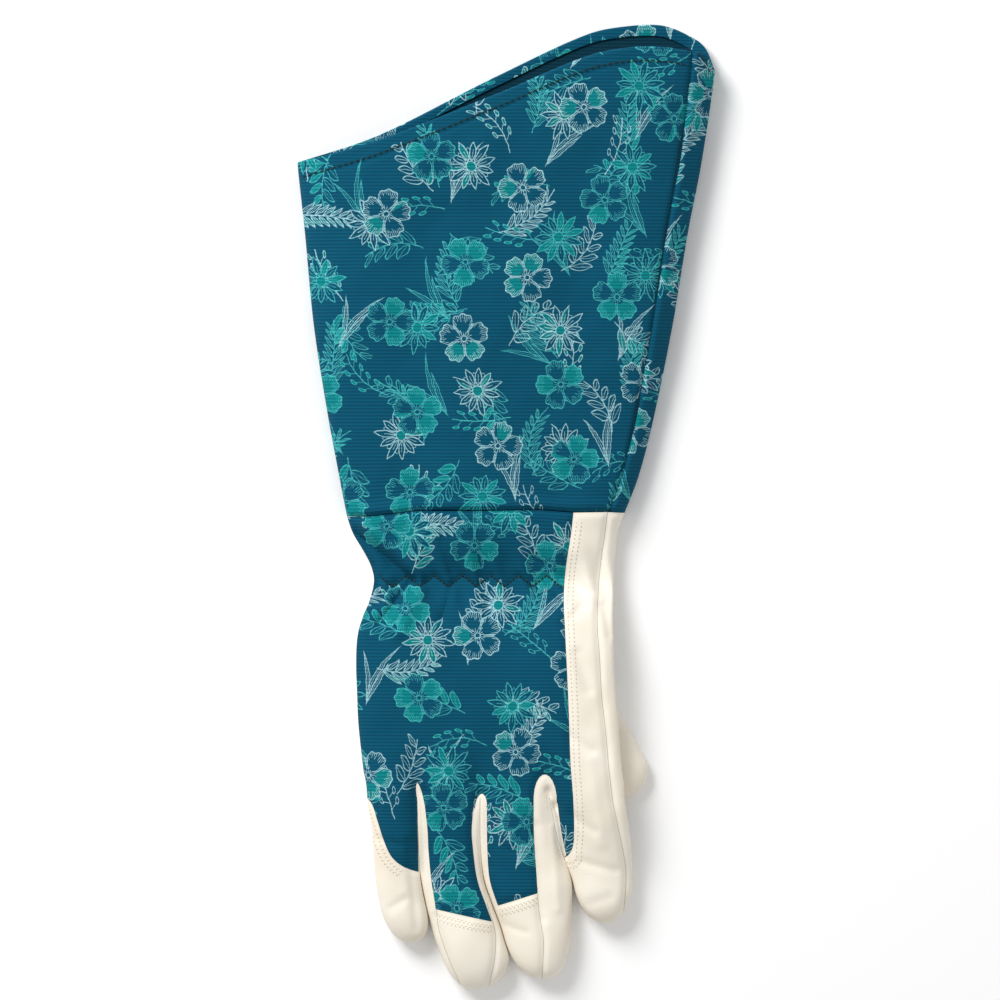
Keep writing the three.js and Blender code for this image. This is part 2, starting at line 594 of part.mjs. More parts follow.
// Outline of the printed back panel, grown all round by the given distance
function printOutline(grow) {
  const root = FINGER_EDGES[0];
  const fork = (share, along, aside) => fingerSpot(share, along).add(new THREE.Vector2(aside, -2 * grow));
  const capCrease = fingerSpot(LITTLE_CAP_EDGE.at(-1).x, LITTLE_CAP_EDGE.at(-1).along);
  const littleEdge = fingerLine(LITTLE_CAP_EDGE, "x", 0).map((p) => p.add(new THREE.Vector2(-grow, -grow)));
  const lowered = (points, by = grow) => {
    points.at(-1).y -= by;
    return points;
  };
  const points = [
    new THREE.Vector2(-WIDE / 2, TALL),
    new THREE.Vector2(-WIDE / 2, littleEdge[0].y),
    ...littleEdge,
    capCrease.add(new THREE.Vector2(grow + FINGER_GAP, -grow)),
    fork(root.littleRing, FORKS.littleRing, grow),
    ...lowered(printEdge("ringLeft", RING_CAP.left, -grow)),
    ...lowered(printEdge("ringRight", RING_CAP.right, grow)).reverse(),
    fork(root.ringMiddle, FORKS.ringMiddle, 0),
    ...lowered(printEdge("middleLeft", MIDDLE_CAP.left, -grow)),
    ...lowered(printEdge("middleRight", MIDDLE_CAP.right, grow)).reverse(),
    fork((root.middleSide + root.indexSide) / 2, FORKS.middleIndex, 0),
    ...lowered(printEdge("indexLeft", INDEX_PRINT_END, -grow), 2 * grow),
    ...lowered(printEdge("indexRight", INDEX_PRINT_END, grow).slice(0, -1), 2 * grow).reverse(),
    ...handLine(PRINT_SIDE, grow).reverse(),
    new THREE.Vector2(PRINT_SIDE[0].x * HAND_WIDTH + grow, TALL),
  ];
  return points;
}

// All on the thumb side of a line of points that runs from the hand towards the fingertips
function beyond(line, side) {
  const far = side * WIDE;
  return upright([
    new THREE.Vector2(far, line[0].y),
    ...line,
    new THREE.Vector2(far, line.at(-1).y),
  ]);
}

const sideSeam = (move) => [
  ...handLine(SIDE_SEAM_HAND, move),
  ...fingerLine(SIDE_SEAM_FINGER, "x", move),
];

// A line on its way from above the hand to past the fingertips
function fullLength(line) {
  const start = new THREE.Vector2(line[0].x, TALL);
  const end = new THREE.Vector2(line.at(-1).x, -HAND_LENGTH - 2 * FINGER_REACH);
  return [start, ...line, end];
}

// The line between two neighbouring fingers
function creaseLine(column) {
  const places = Array.from({ length: CREASE_POINTS }, (_, i) => i / (CREASE_POINTS - 1));
  return fullLength(places.map((along) => fingerSpot(sample(FINGER_EDGES, column, along), along)));
}

// The line of a cap's side seam
const capLine = (column, move) => fullLength(fingerLine(CAP_SEAMS, column, move));

// The middle line of a cap, between its two sides
function capMiddle(left, right) {
  const tableOf = (column) => (column in CAP_SEAMS[0] ? CAP_SEAMS : FINGER_EDGES);
  const side = (column, along) => sample(tableOf(column), column, along);
  return fullLength(
    CAP_SEAMS.map(({ along }) => fingerSpot((side(left, along) + side(right, along)) / 2, along)),
  );
}

const halfGap = SEAM_GAP / 2;

// The hand and fingers: an outside and a hollow, joined from tubes
const joined = (inset) =>
  FINGERS.reduce((all, finger) => all.add(fingerTube(finger, inset)), handTube(inset));
const outside = joined(0);
const hollow = joined(HAND_WALL);
// The hollow is open at the hand seam, into the cuff
const shell = outside.subtract(hollow).subtract(thumbTube(HAND_WALL));

const palmSide = beyond(sideSeam(halfGap), 1);
const upper = shell.intersect(aboveFolds(halfGap)).subtract(beyond(sideSeam(-halfGap), 1));
const palm = shell.subtract(aboveFolds(-halfGap).subtract(palmSide));
const handBack = upper.intersect(upright(printOutline(-halfGap)));
const leather = upper.subtract(upright(printOutline(halfGap)));

// The leather between two lines, which both run from the roots to past the tips
const between = (left, right) => leather.intersect(beyond(left, 1)).subtract(beyond(right, 1));
const capStart = (row) => -HAND_LENGTH - (Math.min(row.left, row.right) - CAP_LEAD) * FINGER_REACH;

// A cap's piece and the band beside it are parted by the cap's side seams, below the cap's start
function belowCap(row, body) {
  const far = WIDE;
  const y = capStart(row);
  const area = [
    new THREE.Vector2(-far, y),
    new THREE.Vector2(far, y),
    new THREE.Vector2(far, -2 * far),
    new THREE.Vector2(-far, -2 * far),
  ];
  return body.intersect(upright(area));
}

const littleCap = leather.subtract(beyond(creaseLine("littleRing"), 1));
const ringCap = belowCap(RING_CAP, between(capLine("ringLeft", halfGap), capLine("ringRight", -halfGap)));
const middleCap = belowCap(MIDDLE_CAP, between(creaseLine("ringMiddle"), capLine("middleRight", -halfGap)));
const ringCapRoom = belowCap(RING_CAP, upright(outlineBetween("ringLeft", "ringRight")));
const middleCapRoom = belowCap(MIDDLE_CAP, upright(middleRoom()));

// Outlines of the caps with the seam's gap round them, which the bands beside them stay out of
function outlineBetween(left, right) {
  return [...capLine(left, -halfGap), ...capLine(right, halfGap).reverse()];
}
function middleRoom() {
  return [...creaseLine("ringMiddle"), ...capLine("middleRight", halfGap).reverse()];
}

const ringMiddleLine = capMiddle("ringLeft", "ringRight");
const middleMiddleLine = capMiddle("ringMiddle", "middleRight");
const bands = leather.subtract(ringCapRoom).subtract(middleCapRoom);
const band = (left, right) => bands.intersect(beyond(left, 1)).subtract(beyond(right, 1));

// The index finger's cover starts where the print ends on it, and runs down the finger's crease
const indexStart = fingerSpot(sample(FINGER_EDGES, "middleSide", INDEX_PRINT_END), INDEX_PRINT_END);
const indexLine = [
  new THREE.Vector2(UNDER_INDEX_PRINT[0].x * HAND_WIDTH, TALL),
  ...fingerLine(UNDER_INDEX_PRINT, "x", 0),
  indexStart,
  ...creaseLine("middleSide").filter((p) => p.y < indexStart.y),
];

const thumb = thumbTube(0).subtract(thumbTube(HAND_WALL)).subtract(handTube(-SEAM_GAP));

const pieces = [
  { name: "cuff_upper", made: cuffPanel(-1, true), colour: FABRIC_COLOUR },
  { name: "cuff_under", made: cuffPanel(1, false), colour: FABRIC_COLOUR },
  { name: "hand_back", made: handBack, colour: FABRIC_COLOUR },
  { name: "palm", made: palm, colour: LEATHER_COLOUR },
  { name: "index_cover", made: leather.intersect(beyond(indexLine, 1)), colour: LEATHER_COLOUR },
  { name: "little_cap", made: littleCap, colour: LEATHER_COLOUR },
  { name: "ring_cap", made: ringCap, colour: LEATHER_COLOUR },
  { name: "middle_cap", made: middleCap, colour: LEATHER_COLOUR },
  { name: "band_little_ring", made: band(creaseLine("littleRing"), ringMiddleLine), colour: LEATHER_COLOUR },
  { name: "band_ring_middle", made: band(ringMiddleLine, middleMiddleLine), colour: LEATHER_COLOUR },
  { name: "band_middle_index", made: band(middleMiddleLine, indexLine), colour: LEATHER_COLOUR },
  { name: "thumb", made: thumb, colour: LEATHER_COLOUR },
];

const glove = new THREE.Group();
for (const { name, made, colour } of pieces) {
  const roughness = colour === FABRIC_COLOUR ? 0.8 : 0.6;
  const mesh = new THREE.Mesh(
    geometryOf(made),
    new THREE.MeshStandardMaterial({ color: colour, roughness, metalness: 0 }),
  );
  mesh.name = name;
  glove.add(mesh);
}

const box = new THREE.Box3().setFromObject(glove);
const middle = box.getCenter(new THREE.Vector3());
glove.position.set(-middle.x, -middle.y, -box.min.z);

export default glove;
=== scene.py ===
# The looks of a rose pruning gauntlet for the right hand, lying palm down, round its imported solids.
# Shapes are made in millimetres in the working frame: the hand seam at y = 0, the cuff's mouth
# towards +Y and the thumb side towards +X. place_piece() then moves them into the row's frame.
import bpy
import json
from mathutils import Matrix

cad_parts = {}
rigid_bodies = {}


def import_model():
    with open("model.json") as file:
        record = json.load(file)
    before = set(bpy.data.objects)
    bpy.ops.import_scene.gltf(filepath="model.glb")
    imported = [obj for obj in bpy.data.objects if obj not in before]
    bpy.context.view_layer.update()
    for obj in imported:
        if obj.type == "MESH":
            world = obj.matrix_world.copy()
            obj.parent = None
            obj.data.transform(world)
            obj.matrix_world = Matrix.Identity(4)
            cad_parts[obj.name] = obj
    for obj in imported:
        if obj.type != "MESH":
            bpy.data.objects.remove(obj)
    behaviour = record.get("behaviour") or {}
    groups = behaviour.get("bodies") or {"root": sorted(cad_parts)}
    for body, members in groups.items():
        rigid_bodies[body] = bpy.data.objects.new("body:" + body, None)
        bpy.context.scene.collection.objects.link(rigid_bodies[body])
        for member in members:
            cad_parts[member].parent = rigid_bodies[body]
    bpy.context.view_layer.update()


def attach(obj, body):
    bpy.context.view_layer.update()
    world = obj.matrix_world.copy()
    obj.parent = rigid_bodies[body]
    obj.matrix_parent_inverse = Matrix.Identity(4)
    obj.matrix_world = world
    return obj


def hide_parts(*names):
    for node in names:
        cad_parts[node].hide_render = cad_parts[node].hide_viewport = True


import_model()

import json
import math

import bmesh
import bpy
import numpy as np
from mathutils import Matrix, Vector
from mathutils.bvhtree import BVHTree

SHIFT = (-9.032, -2.256, 0.0)  # from the working frame to the row's frame, mm
MM = 0.001


def table(names, *rows):
    return dict(zip(names.split(), np.array(rows, float).T))


# Cuff
CUFF_LENGTH, CUFF_WALL, HEM_WIDTH, HEM_FOLD = 197.5, 1.5, 7.2, 0.9
CUFF_FLARE_LITTLE, CUFF_FLARE_THUMB = 21, 38.4
CUFF_MOUTH_HEIGHT, CUFF_EDGE_HEIGHT, UNDER_OVERHANG = 27, 9, 9
MOUTH_LEAN, UNDER_HEM = 1.4, 4.7
CUFF_SEAM = 0.885
# Hand
HAND_WIDTH, HAND_LENGTH, HAND_HEIGHT, HAND_WALL, EDGE_HEIGHT = 109.6, 120.8, 16, 1.4, 6
WAIST, WEB_OUTSIDE, WEB_INSIDE, LOBES_FROM = 0.242, 0.66, 0.25, 0.79
PLEAT_PITCH, PLEAT_DEPTH, PLEAT_REACH = 12, 2.5, 11
PLEAT_SWAY, PLEAT_SWAY_SIZE, PLEAT_SLANT, PLEAT_START = 1.6, 9.0, 0.25, 29
# Fingers
FINGER_REACH, FINGER_HEIGHT, FINGER_TIP, FINGER_GAP = 81.8, 14, 15.3, 0.12
WEB_FADE = (4, 46)  # the webs between the fingers fade out over this stretch, mm
# Thumb
THUMB_LENGTH, THUMB_WIDTH, THUMB_HEIGHT, THUMB_EDGE, THUMB_TIP = 76, 26.3, 9.5, 4, 11
THUMB_ANGLE, THUMB_SEAT, THUMB_BEND, THUMB_ROOT = math.radians(60.6), 0.3, 38, 60
THUMB_CLEARANCE, FLATTENED, LIFT_SLOPE, LIFT_FADE = 0.9, 0.4, 24, 34
THUMB_CROTCH, THUMB_HEEL, THUMB_END_ACROSS = 53, 100, 0.565

HAND_SQUARE, CUFF_SQUARE, FINGER_SQUARE, UNDER_DEPTH = 2.5, 2.1, 2.2, 1.5
SEAM_GAP = 0.12
FOLLOW = 0.4  # the share of a fold that the hollow follows
DEEPEST = 4.2  # the folds on the hand go no deeper than this, mm
SKIN = 3.3  # how much lower the hollow is under the top than the wall, so that folds stay closed

CUFF_EDGES = table(
    "along little thumb",
    (0, 0, 0), (0.08, 0.16, 0.16), (0.2, 0.375, 0.32), (0.4, 0.67, 0.53), (0.6, 0.85, 0.7),
    (0.75, 1, 0.85), (0.95, 1.13, 1), (1.06, 1.2, 1.04))
CUFF_MOUTH = table(
    "along reach under",
    (-1, 0.751, 0), (-0.587, 0.803, 0.2), (-0.03, 0.9, 0.8), (0.4, 0.982, 1), (0.6, 1, 1),
    (0.76, 1, 1), (0.88, 0.991, 0.7), (0.95, 0.985, 0.3), (1, 0.951, 0))
HAND_EDGES = table(
    "along little thumb top",
    (0, -0.534, 0.54, 1.1), (0.063, -0.511, 0.515, 1.06), (0.13, -0.472, 0.507, 0.98),
    (0.189, -0.441, 0.499, 0.86), (0.242, -0.43, 0.4975, 0.8), (0.316, -0.449, 0.496, 0.9),
    (0.365, -0.472, 0.495, 0.96), (0.432, -0.493, 0.496, 1), (0.523, -0.499, 0.4975, 1),
    (0.646, -0.495, 0.5045, 1), (0.733, -0.491, 0.5145, 1), (0.835, -0.48, 0.522, 0.97),
    (1, -0.458, 0.539, 0.9))
# Dents: the line's two ends, shares of the hand's width and length, or the cuff's half width and
# length, then depth and width in mm
HAND_FOLDS = (
    (-0.5, 0.06, -0.285, 0.24, 4.2, 1.5), (-0.47, 0.03, -0.25, 0.22, -1.4, 2.4),
    (-0.29, 0.245, -0.41, 0.39, 4.2, 1.7), (-0.36, 0.22, -0.47, 0.33, -0.9, 2.6),
    (-0.25, 0.27, -0.33, 0.42, -1.5, 3), (-0.44, 0.19, -0.4, 0.31, 2.4, 1.5),
    (0.2, 0.255, 0.29, 0.32, 2.6, 1.6), (0.17, 0.29, 0.27, 0.37, -0.9, 2.8),
    (0.19, 0.16, 0.29, 0.23, 1.6, 1.9), (0.03, 0.26, 0.0, 0.36, 1.5, 1.9),
    (-0.13, 0.26, -0.17, 0.38, 1.7, 2.1), (0.12, 0.26, 0.13, 0.35, 1.4, 1.9),
    (-0.02, 0.12, 0.02, 0.22, 1.2, 2.2), (-0.17, 0.1, -0.13, 0.21, 1.3, 2.2))
SHARP_FROM, CREASE_POWER = 1, 1.1  # folds deeper than this are creases, mm, and how sharp those are
CUFF_DENTS = ((-0.55, 0.05, -0.35, 0.6, 1.8, 13), (0.5, 0.1, 0.45, 0.75, 1.6, 14))
FINGER_EDGES = table(
    "along littleOuter littleRing ringMiddle middleSide indexSide indexOuter",
    (0, -0.458, -0.263, -0.019, 0.248, 0.248, 0.539),
    (0.166, -0.439, -0.259, -0.019, 0.273, 0.273, 0.557),
    (0.275, -0.432, -0.2565, -0.017, 0.294, 0.294, 0.566),
    (0.43, -0.424, -0.2476, -0.004, 0.335, 0.337, 0.572),
    (0.56, -0.408, -0.229, 0.029, 0.337, 0.356, 0.565),
    (0.663, -0.391, -0.209, 0.058, 0.336, 0.367, 0.56),
    (0.741, -0.383, -0.193, 0.0754, 0.333, 0.375, 0.555),
    (0.819, -0.375, -0.17, 0.0928, 0.321, 0.38, 0.55),
    (1, -0.36, -0.128, 0.12, 0.29, 0.39, 0.54))
# Each finger's two sides, its length, how far its tip leans to the side and how square the tip is
FINGERS = (
    ("littleOuter", "littleRing", 61.9, 0, 2.1), ("littleRing", "ringMiddle", 81.8, -3.6, 2),
    ("ringMiddle", "middleSide", 77, 2.4, 2.6), ("indexSide", "indexOuter", 53.4, 0, 2.1))
PRINT_EDGES = table(
    "along ringLeft ringRight middleLeft middleRight indexLeft indexRight",
    (0, -0.236, -0.04, 0.008, 0.1876, 0.278, 0.34),
    (0.166, -0.222, -0.0518, 0.008, 0.188, 0.294, 0.344),
    (0.275, -0.218, -0.0464, 0.0097, 0.192, 0.31, 0.338),
    (0.43, -0.207, -0.03, 0.019, 0.2, 0.335, 0.34),
    (0.56, -0.192, 0.0035, 0.05, 0.205, 0.32, 0.33),
    (0.66, -0.185, 0.031, 0.08, 0.21, 0.32, 0.33))
RING_CAP, MIDDLE_CAP, INDEX_PRINT_END = (0.58, 0.645), (0.562, 0.497), 0.312
LITTLE_CAP_EDGE = table(
    "along x",
    (-0.036, -0.49), (0.028, -0.441), (0.119, -0.416), (0.212, -0.394), (0.295, -0.367),
    (0.337, -0.34), (0.368, -0.302), (0.387, -0.261))
# The tops of the forks between fingers, across and along
FORKS = {"littleRing": (-0.262, -0.073), "ringMiddle": (-0.012, -0.018), "middleIndex": (0.236, -0.119)}
CAP_SEAMS = table(
    "along ringLeft ringRight middleRight",
    (0.5, -0.197, 0, 0.2027), (0.58, -0.188, 0.014, 0.208), (0.663, -0.182, 0.034, 0.217),
    (0.741, -0.166, 0.042, 0.226), (0.86, -0.133, 0.035, 0.224), (0.943, -0.105, 0.021, 0.22),
    (1.05, -0.075, 0.005, 0.216))
PRINT_SIDE = table(
    "along x",
    (-0.05, 0.346), (0.07, 0.333), (0.19, 0.313), (0.3, 0.304), (0.43, 0.3095), (0.7, 0.323),
    (0.87, 0.329), (0.965, 0.337))
SIDE_SEAM_HAND = table(
    "along x",
    (-0.05, 0.48), (0.08, 0.463), (0.168, 0.449), (0.263, 0.439), (0.379, 0.433), (0.505, 0.442),
    (0.646, 0.451), (0.772, 0.466), (0.9, 0.478))
SIDE_SEAM_FINGER = table(
    "along x",
    (0.016, 0.493), (0.16, 0.5145), (0.326, 0.54), (0.389, 0.545), (0.45, 0.545), (0.528, 0.541),
    (0.6, 0.536), (0.7, 0.53))
UNDER_INDEX_PRINT = table("along x", (-0.3, 0.29), (-0.119, 0.31), (0.292, 0.325))


def smooth(low, high, at):
    t = np.clip((at - low) / (high - low), 0, 1)
    return t * t * (3 - 2 * t)


def mix(a, b, t):
    return a + (b - a) * t


def sample(rows, column, at):
    """A table's column between its rows, on a smooth curve through them."""
    a, v = rows["along"], rows[column]
    slope = np.empty_like(v)
    slope[1:-1] = (v[2:] - v[:-2]) / (a[2:] - a[:-2])
    slope[0], slope[-1] = (v[1] - v[0]) / (a[1] - a[0]), (v[-1] - v[-2]) / (a[-1] - a[-2])
    at = np.clip(at, a[0], a[-1])
    i = np.clip(np.searchsorted(a, at, side="right") - 1, 0, len(a) - 2)
    span, rise = a[i + 1] - a[i], v[i + 1] - v[i]
    t, start, end = (at - a[i]) / span, slope[i] * span, slope[i + 1] * span
    return v[i] + t * start + t * t * (3 * rise - 2 * start - end) + t**3 * (start + end - 2 * rise)


def dip(far, depth, wide):
    """A soft dent at a distance from its middle."""
    return depth * np.exp(-((far / wide) ** 2))


def swell(across, square):
    return (1 - np.minimum(np.abs(across), 1) ** square) ** (1 / square)


def to_segment(x, y, a, b):
    """Distance from points to a line between two points, and how far along it they are."""
    abx, aby = b[0] - a[0], b[1] - a[1]
    size = np.maximum(abx * abx + aby * aby, 1e-9)
    t = np.clip(((x - a[0]) * abx + (y - a[1]) * aby) / size, 0, 1)
    return np.hypot(x - a[0] - t * abx, y - a[1] - t * aby), t


def to_line(x, y, line):
    far = np.full(np.shape(x), 1e3)
    for a, b in zip(line[:-1], line[1:]):
        far = np.minimum(far, to_segment(x, y, a, b)[0])
    return far


def pressed(dents, x, y, unit_x, unit_y, power=2):
    """Depth of dents along lines. A lower power makes sharper creases."""
    deep = 0
    for x1, y1, x2, y2, depth, wide in dents:
        away = to_segment(x, y, (x1 * unit_x, y1 * unit_y), (x2 * unit_x, y2 * unit_y))[0]
        deep = deep + depth * np.exp(-((away / wide) ** (power if depth > SHARP_FROM else 2)))
    return deep


THUMB_END = np.array([THUMB_END_ACROSS * HAND_WIDTH, -HAND_LENGTH])
THUMB_AXIS = np.array([math.cos(THUMB_ANGLE), -math.sin(THUMB_ANGLE)])


def lift(x, y):
    """How far the thumb under the palm lifts the hand."""
    dx, dy = x - THUMB_END[0], y - THUMB_END[1]
    back = -(dx * THUMB_AXIS[0] + dy * THUMB_AXIS[1])
    aside = -dx * THUMB_AXIS[1] + dy * THUMB_AXIS[0]
    beside = smooth(-THUMB_WIDTH / 2 - LIFT_SLOPE, -THUMB_WIDTH / 2, aside)
    length = smooth(-LIFT_FADE, 0, back) * (1 - smooth(THUMB_CROTCH, THUMB_HEEL, back))
    return (THUMB_HEIGHT + THUMB_CLEARANCE) * beside * length


# Lines in the plane. The ones of a table are resampled finely on its smooth curve
FINE = 40


def spot(share, along):
    """A point, or a line of points, among the fingers."""
    return np.stack([share * HAND_WIDTH, -HAND_LENGTH - along * FINGER_REACH], -1)


def hand_line(rows, move=0.0):
    at = np.linspace(rows["along"][0], rows["along"][-1], FINE)
    return np.stack([sample(rows, "x", at) * HAND_WIDTH + move, -at * HAND_LENGTH], 1)


def finger_line(rows, column, move=0.0, high=None):
    at = np.linspace(rows["along"][0], high or rows["along"][-1], FINE)
    return spot(sample(rows, column, at), at) + (move, 0)


TALL, WIDE = 80, 200


def full_length(line):
    """A line on its way from above the hand to past the fingertips."""
    start = (line[0][0], TALL)
    end = (line[-1][0], -HAND_LENGTH - 2 * FINGER_REACH)
    return np.vstack([start, line, end])


def crease(column):
    return full_length(finger_line(FINGER_EDGES, column))


def cap_line(column, move=0.0):
    return full_length(finger_line(CAP_SEAMS, column, move))


def cap_middle(rows, left, right):
    """The line half way between a cap's two sides. The right one is a cap's seam."""
    at = np.linspace(CAP_SEAMS["along"][0], CAP_SEAMS["along"][-1], FINE)
    return full_length(spot((sample(rows, left, at) + sample(CAP_SEAMS, right, at)) / 2, at))


def print_edge(column, until, move=0.0):
    return finger_line(PRINT_EDGES, column, move, until)


def fork(left, name, right, count=11):
    """A rounded end between two spots, over a fork's top."""
    left, top, right = spot(*left), spot(*FORKS[name]), spot(*right)
    turn = np.linspace(math.pi, 0, count)[:, None]
    middle = (left + right) / 2
    return middle - np.cos(math.pi - turn) * (right - left) / 2 + np.sin(turn) * (top - middle)


# The round corner at the end of the print's strip on the index, across and along, and where it starts
INDEX_CORNER = (
    (0.3068, 0.3128), (0.3145, 0.309), (0.3215, 0.301), (0.327, 0.291), (0.3325, 0.279),
    (0.3378, 0.263), (0.3415, 0.24), (0.3435, 0.215))
INDEX_CORNER_START = 0.19
# How far the print's corners stand from the cap and crease, shares of the hand's width
CAP_CORNER, LITTLE_SIDE = 0.004, 0.001


def print_outline(grow):
    """Outline of the printed back panel, grown all round by a distance. Its edges along the fingers
    leave out their first few points, which the forks take the place of."""
    little = finger_line(LITTLE_CAP_EDGE, "x")
    little_side = FINGER_EDGES["littleRing"][0] + LITTLE_SIDE
    root = {name: PRINT_EDGES[name][0] for name in PRINT_EDGES}
    line = np.vstack([
        (-WIDE / 2, TALL), (-WIDE / 2, little[0][1]), little,
        spot(LITTLE_CAP_EDGE["x"][-1] + CAP_CORNER, LITTLE_CAP_EDGE["along"][-1]),
        spot(little_side, 0.1),
        fork((little_side, 0.02), "littleRing", (root["ringLeft"], 0.02)),
        print_edge("ringLeft", RING_CAP[0])[3:],
        print_edge("ringRight", RING_CAP[1])[:2:-1],
        fork((root["ringRight"], 0.06), "ringMiddle", (root["middleLeft"], 0.06)),
        print_edge("middleLeft", MIDDLE_CAP[0])[3:],
        print_edge("middleRight", MIDDLE_CAP[1])[:2:-1],
        fork((root["middleRight"], 0), "middleIndex", (root["indexLeft"], 0.03)),
        print_edge("indexLeft", INDEX_PRINT_END - 0.01)[4:],
        [spot(x, along) for x, along in INDEX_CORNER],
        print_edge("indexRight", INDEX_CORNER_START)[::-1],
        hand_line(PRINT_SIDE)[::-1],
        (PRINT_SIDE["x"][0] * HAND_WIDTH, TALL)])
    return offset(line, grow)


SMALLEST, BLUNTEST = 1e-6, 0.4  # keep offset() from dividing by nothing and from long corners


def offset(line, grow):
    """A line, or an outline with its inside on the left, moved by a small distance to its right."""
    ahead = np.roll(line, -1, 0) - line
    ahead /= np.maximum(np.hypot(*ahead.T), SMALLEST)[:, None]
    mean = ahead + np.roll(ahead, 1, 0)
    mean /= np.maximum(np.hypot(*mean.T), BLUNTEST)[:, None]
    return line + np.stack([mean[:, 1], -mean[:, 0]], 1) * grow


def side_seam(move):
    return np.vstack([hand_line(SIDE_SEAM_HAND, move), finger_line(SIDE_SEAM_FINGER, "x", move)])


index_start = spot(sample(FINGER_EDGES, "middleSide", INDEX_PRINT_END), INDEX_PRINT_END)
index_crease = crease("middleSide")
INDEX_LINE = np.vstack([
    (UNDER_INDEX_PRINT["x"][0] * HAND_WIDTH, TALL),
    finger_line(UNDER_INDEX_PRINT, "x"), index_start,
    index_crease[index_crease[:, 1] < index_start[1]]])

# Seams that the panels roll down into
HAND_SEAM = np.array([(-90, 0), (90, 0)])
SEAMS = [print_outline(0)[2:-1], side_seam(0), HAND_SEAM]
SEAMS += [cap_line(column)[1:-1] for column in ("ringLeft", "ringRight", "middleRight")]
SEAM_DEPTH, SEAM_ROLL = 0.85, 1.5
# The hand seam isn't quite straight: places across, how far it moves towards the cuff there, and how
# far from the seam that fades, mm
SEAM_CURVE = (
    (-58, -49, -37, -29, -4, 23, 37, 52, 59),
    (-1.95, -1.95, -0.64, 0.42, 0.42, 0.85, -0.2, 0, -0.42))
SEAM_CURVE_FADE = 14
# The zigzag that gathers the wrist in mm, and the share of a turn that it starts with
GATHER_FROM, GATHER_TO, ZIGZAG_PITCH, ZIGZAG_REACH, ZIGZAG_START = -44, 33, 11.9, 2.4, 0.3
GATHER_DEPTH, GATHER_ROLL, GATHER_PRESSED_TO = 1.9, 1.2, 32.5
gather_x = np.linspace(GATHER_FROM, GATHER_TO, 90)
zigzag = np.interp((gather_x / ZIGZAG_PITCH + ZIGZAG_START) % 1, (0, 0.5, 1), (-1, 1, -1))
GATHER = np.stack([gather_x, -WAIST * HAND_LENGTH + ZIGZAG_REACH * zigzag], 1)

HAND_UNEVEN, CUFF_UNEVEN = 1.4, 1.5
# Sizes of the waves that make cloth uneven, in radians to a mm, with their depths, and how many of each
WAVE_SIZES, WAVES_OF_EACH, CALM = ((0.12, 0.35), (0.2, 0.22), (0.35, 0.12), (0.6, 0.06)), 7, 3
random = np.random.default_rng(4)
WAVES = [
    (random.uniform(-1, 1, 2) * scale, random.uniform(0, 6.3), deep)
    for scale, deep in WAVE_SIZES for _ in range(WAVES_OF_EACH)]


def uneven(x, y):
    """Small soft unevenness of cloth that was filled and pressed flat, mm."""
    return sum(deep * np.sin(k[0] * x + k[1] * y + phase) for k, phase, deep in WAVES) / CALM


def seam_groove(x, y):
    deep = 0
    for line in SEAMS:
        far = to_line(x, y, line)
        deep = np.maximum(deep, dip(far, SEAM_DEPTH, SEAM_ROLL))
    return deep


# Wrinkles pressed across the fingers and the leather: two ends in mm, depth and width
WRINKLES = (
    (-47, -138, -36, -141, 0.7, 1.8), (6, -142, 19, -146, 0.5, 1.8), (36, -128, 46, -135, 0.7, 2.2),
    (41, -148, 55, -152, 0.6, 2), (39, -60, 44, -75, 0.9, 2.6), (37, -30, 44, -34, 0.9, 2.2),
    (37, -44, 42, -39, 0.8, 2), (36, -95, 45, -101, 0.8, 2.4), (50, -40, 53, -52, 0.8, 2),
    (-20, -171, -8, -173, 0.5, 2), (8, -175, 17, -178, 0.5, 1.8), (44, -166, 53, -163, 0.6, 1.8),
    (-32, -140, -29, -176, 0.9, 2.2), (-40, -168, -34, -164, 0.6, 1.8), (27, -118, 30, -125, 1.6, 1.6),
    (30, -124, 35, -150, 1.0, 1.4), (29, -134, 31, -168, -0.7, 2), (22, -133, 25, -172, 0.7, 2.2),
    (4, -128, 3, -150, 0.9, 1.6), (-23, -122, -26, -118, 0.9, 1.4), (45, -105, 49, -140, -0.6, 3))


def relief(x, y):
    """How far the outside of the hand's upper side is pressed in, mm."""
    wrinkles = pressed(WRINKLES, x, y, 1, 1)
    gather = GATHER_DEPTH * np.exp(-to_line(x, y, GATHER) / GATHER_ROLL) * (x < GATHER_PRESSED_TO)
    return seam_groove(x, y) + wrinkles + gather + HAND_UNEVEN * uneven(x, y)


def middle_and_half(left, right):
    return (left + right) / 2, (right - left) / 2


def hand_edges(y):
    along = -y / HAND_LENGTH
    left, right = sample(HAND_EDGES, "little", along), sample(HAND_EDGES, "thumb", along)
    return middle_and_half(left * HAND_WIDTH, right * HAND_WIDTH)


def finger_edges(finger, y):
    along = (-HAND_LENGTH - y) / FINGER_REACH
    left, right = [sample(FINGER_EDGES, side, along) * HAND_WIDTH for side in finger[:2]]
    return middle_and_half(left + FINGER_GAP / 2, right - FINGER_GAP / 2)


CROWDED, CUFF_CROWDED = 0.75, 0.45  # 0 for even steps across, 1 for steps that follow an arc


def across_places(count):
    """Places across a section, closer together near its side folds."""
    even = np.linspace(-1, 1, count + 1)
    return mix(even, np.sin(even * np.pi / 2), CROWDED)


def numbered(rows, columns, first=0):
    """The numbers of a grid's points."""
    return np.arange(rows * columns).reshape(rows, columns) + first


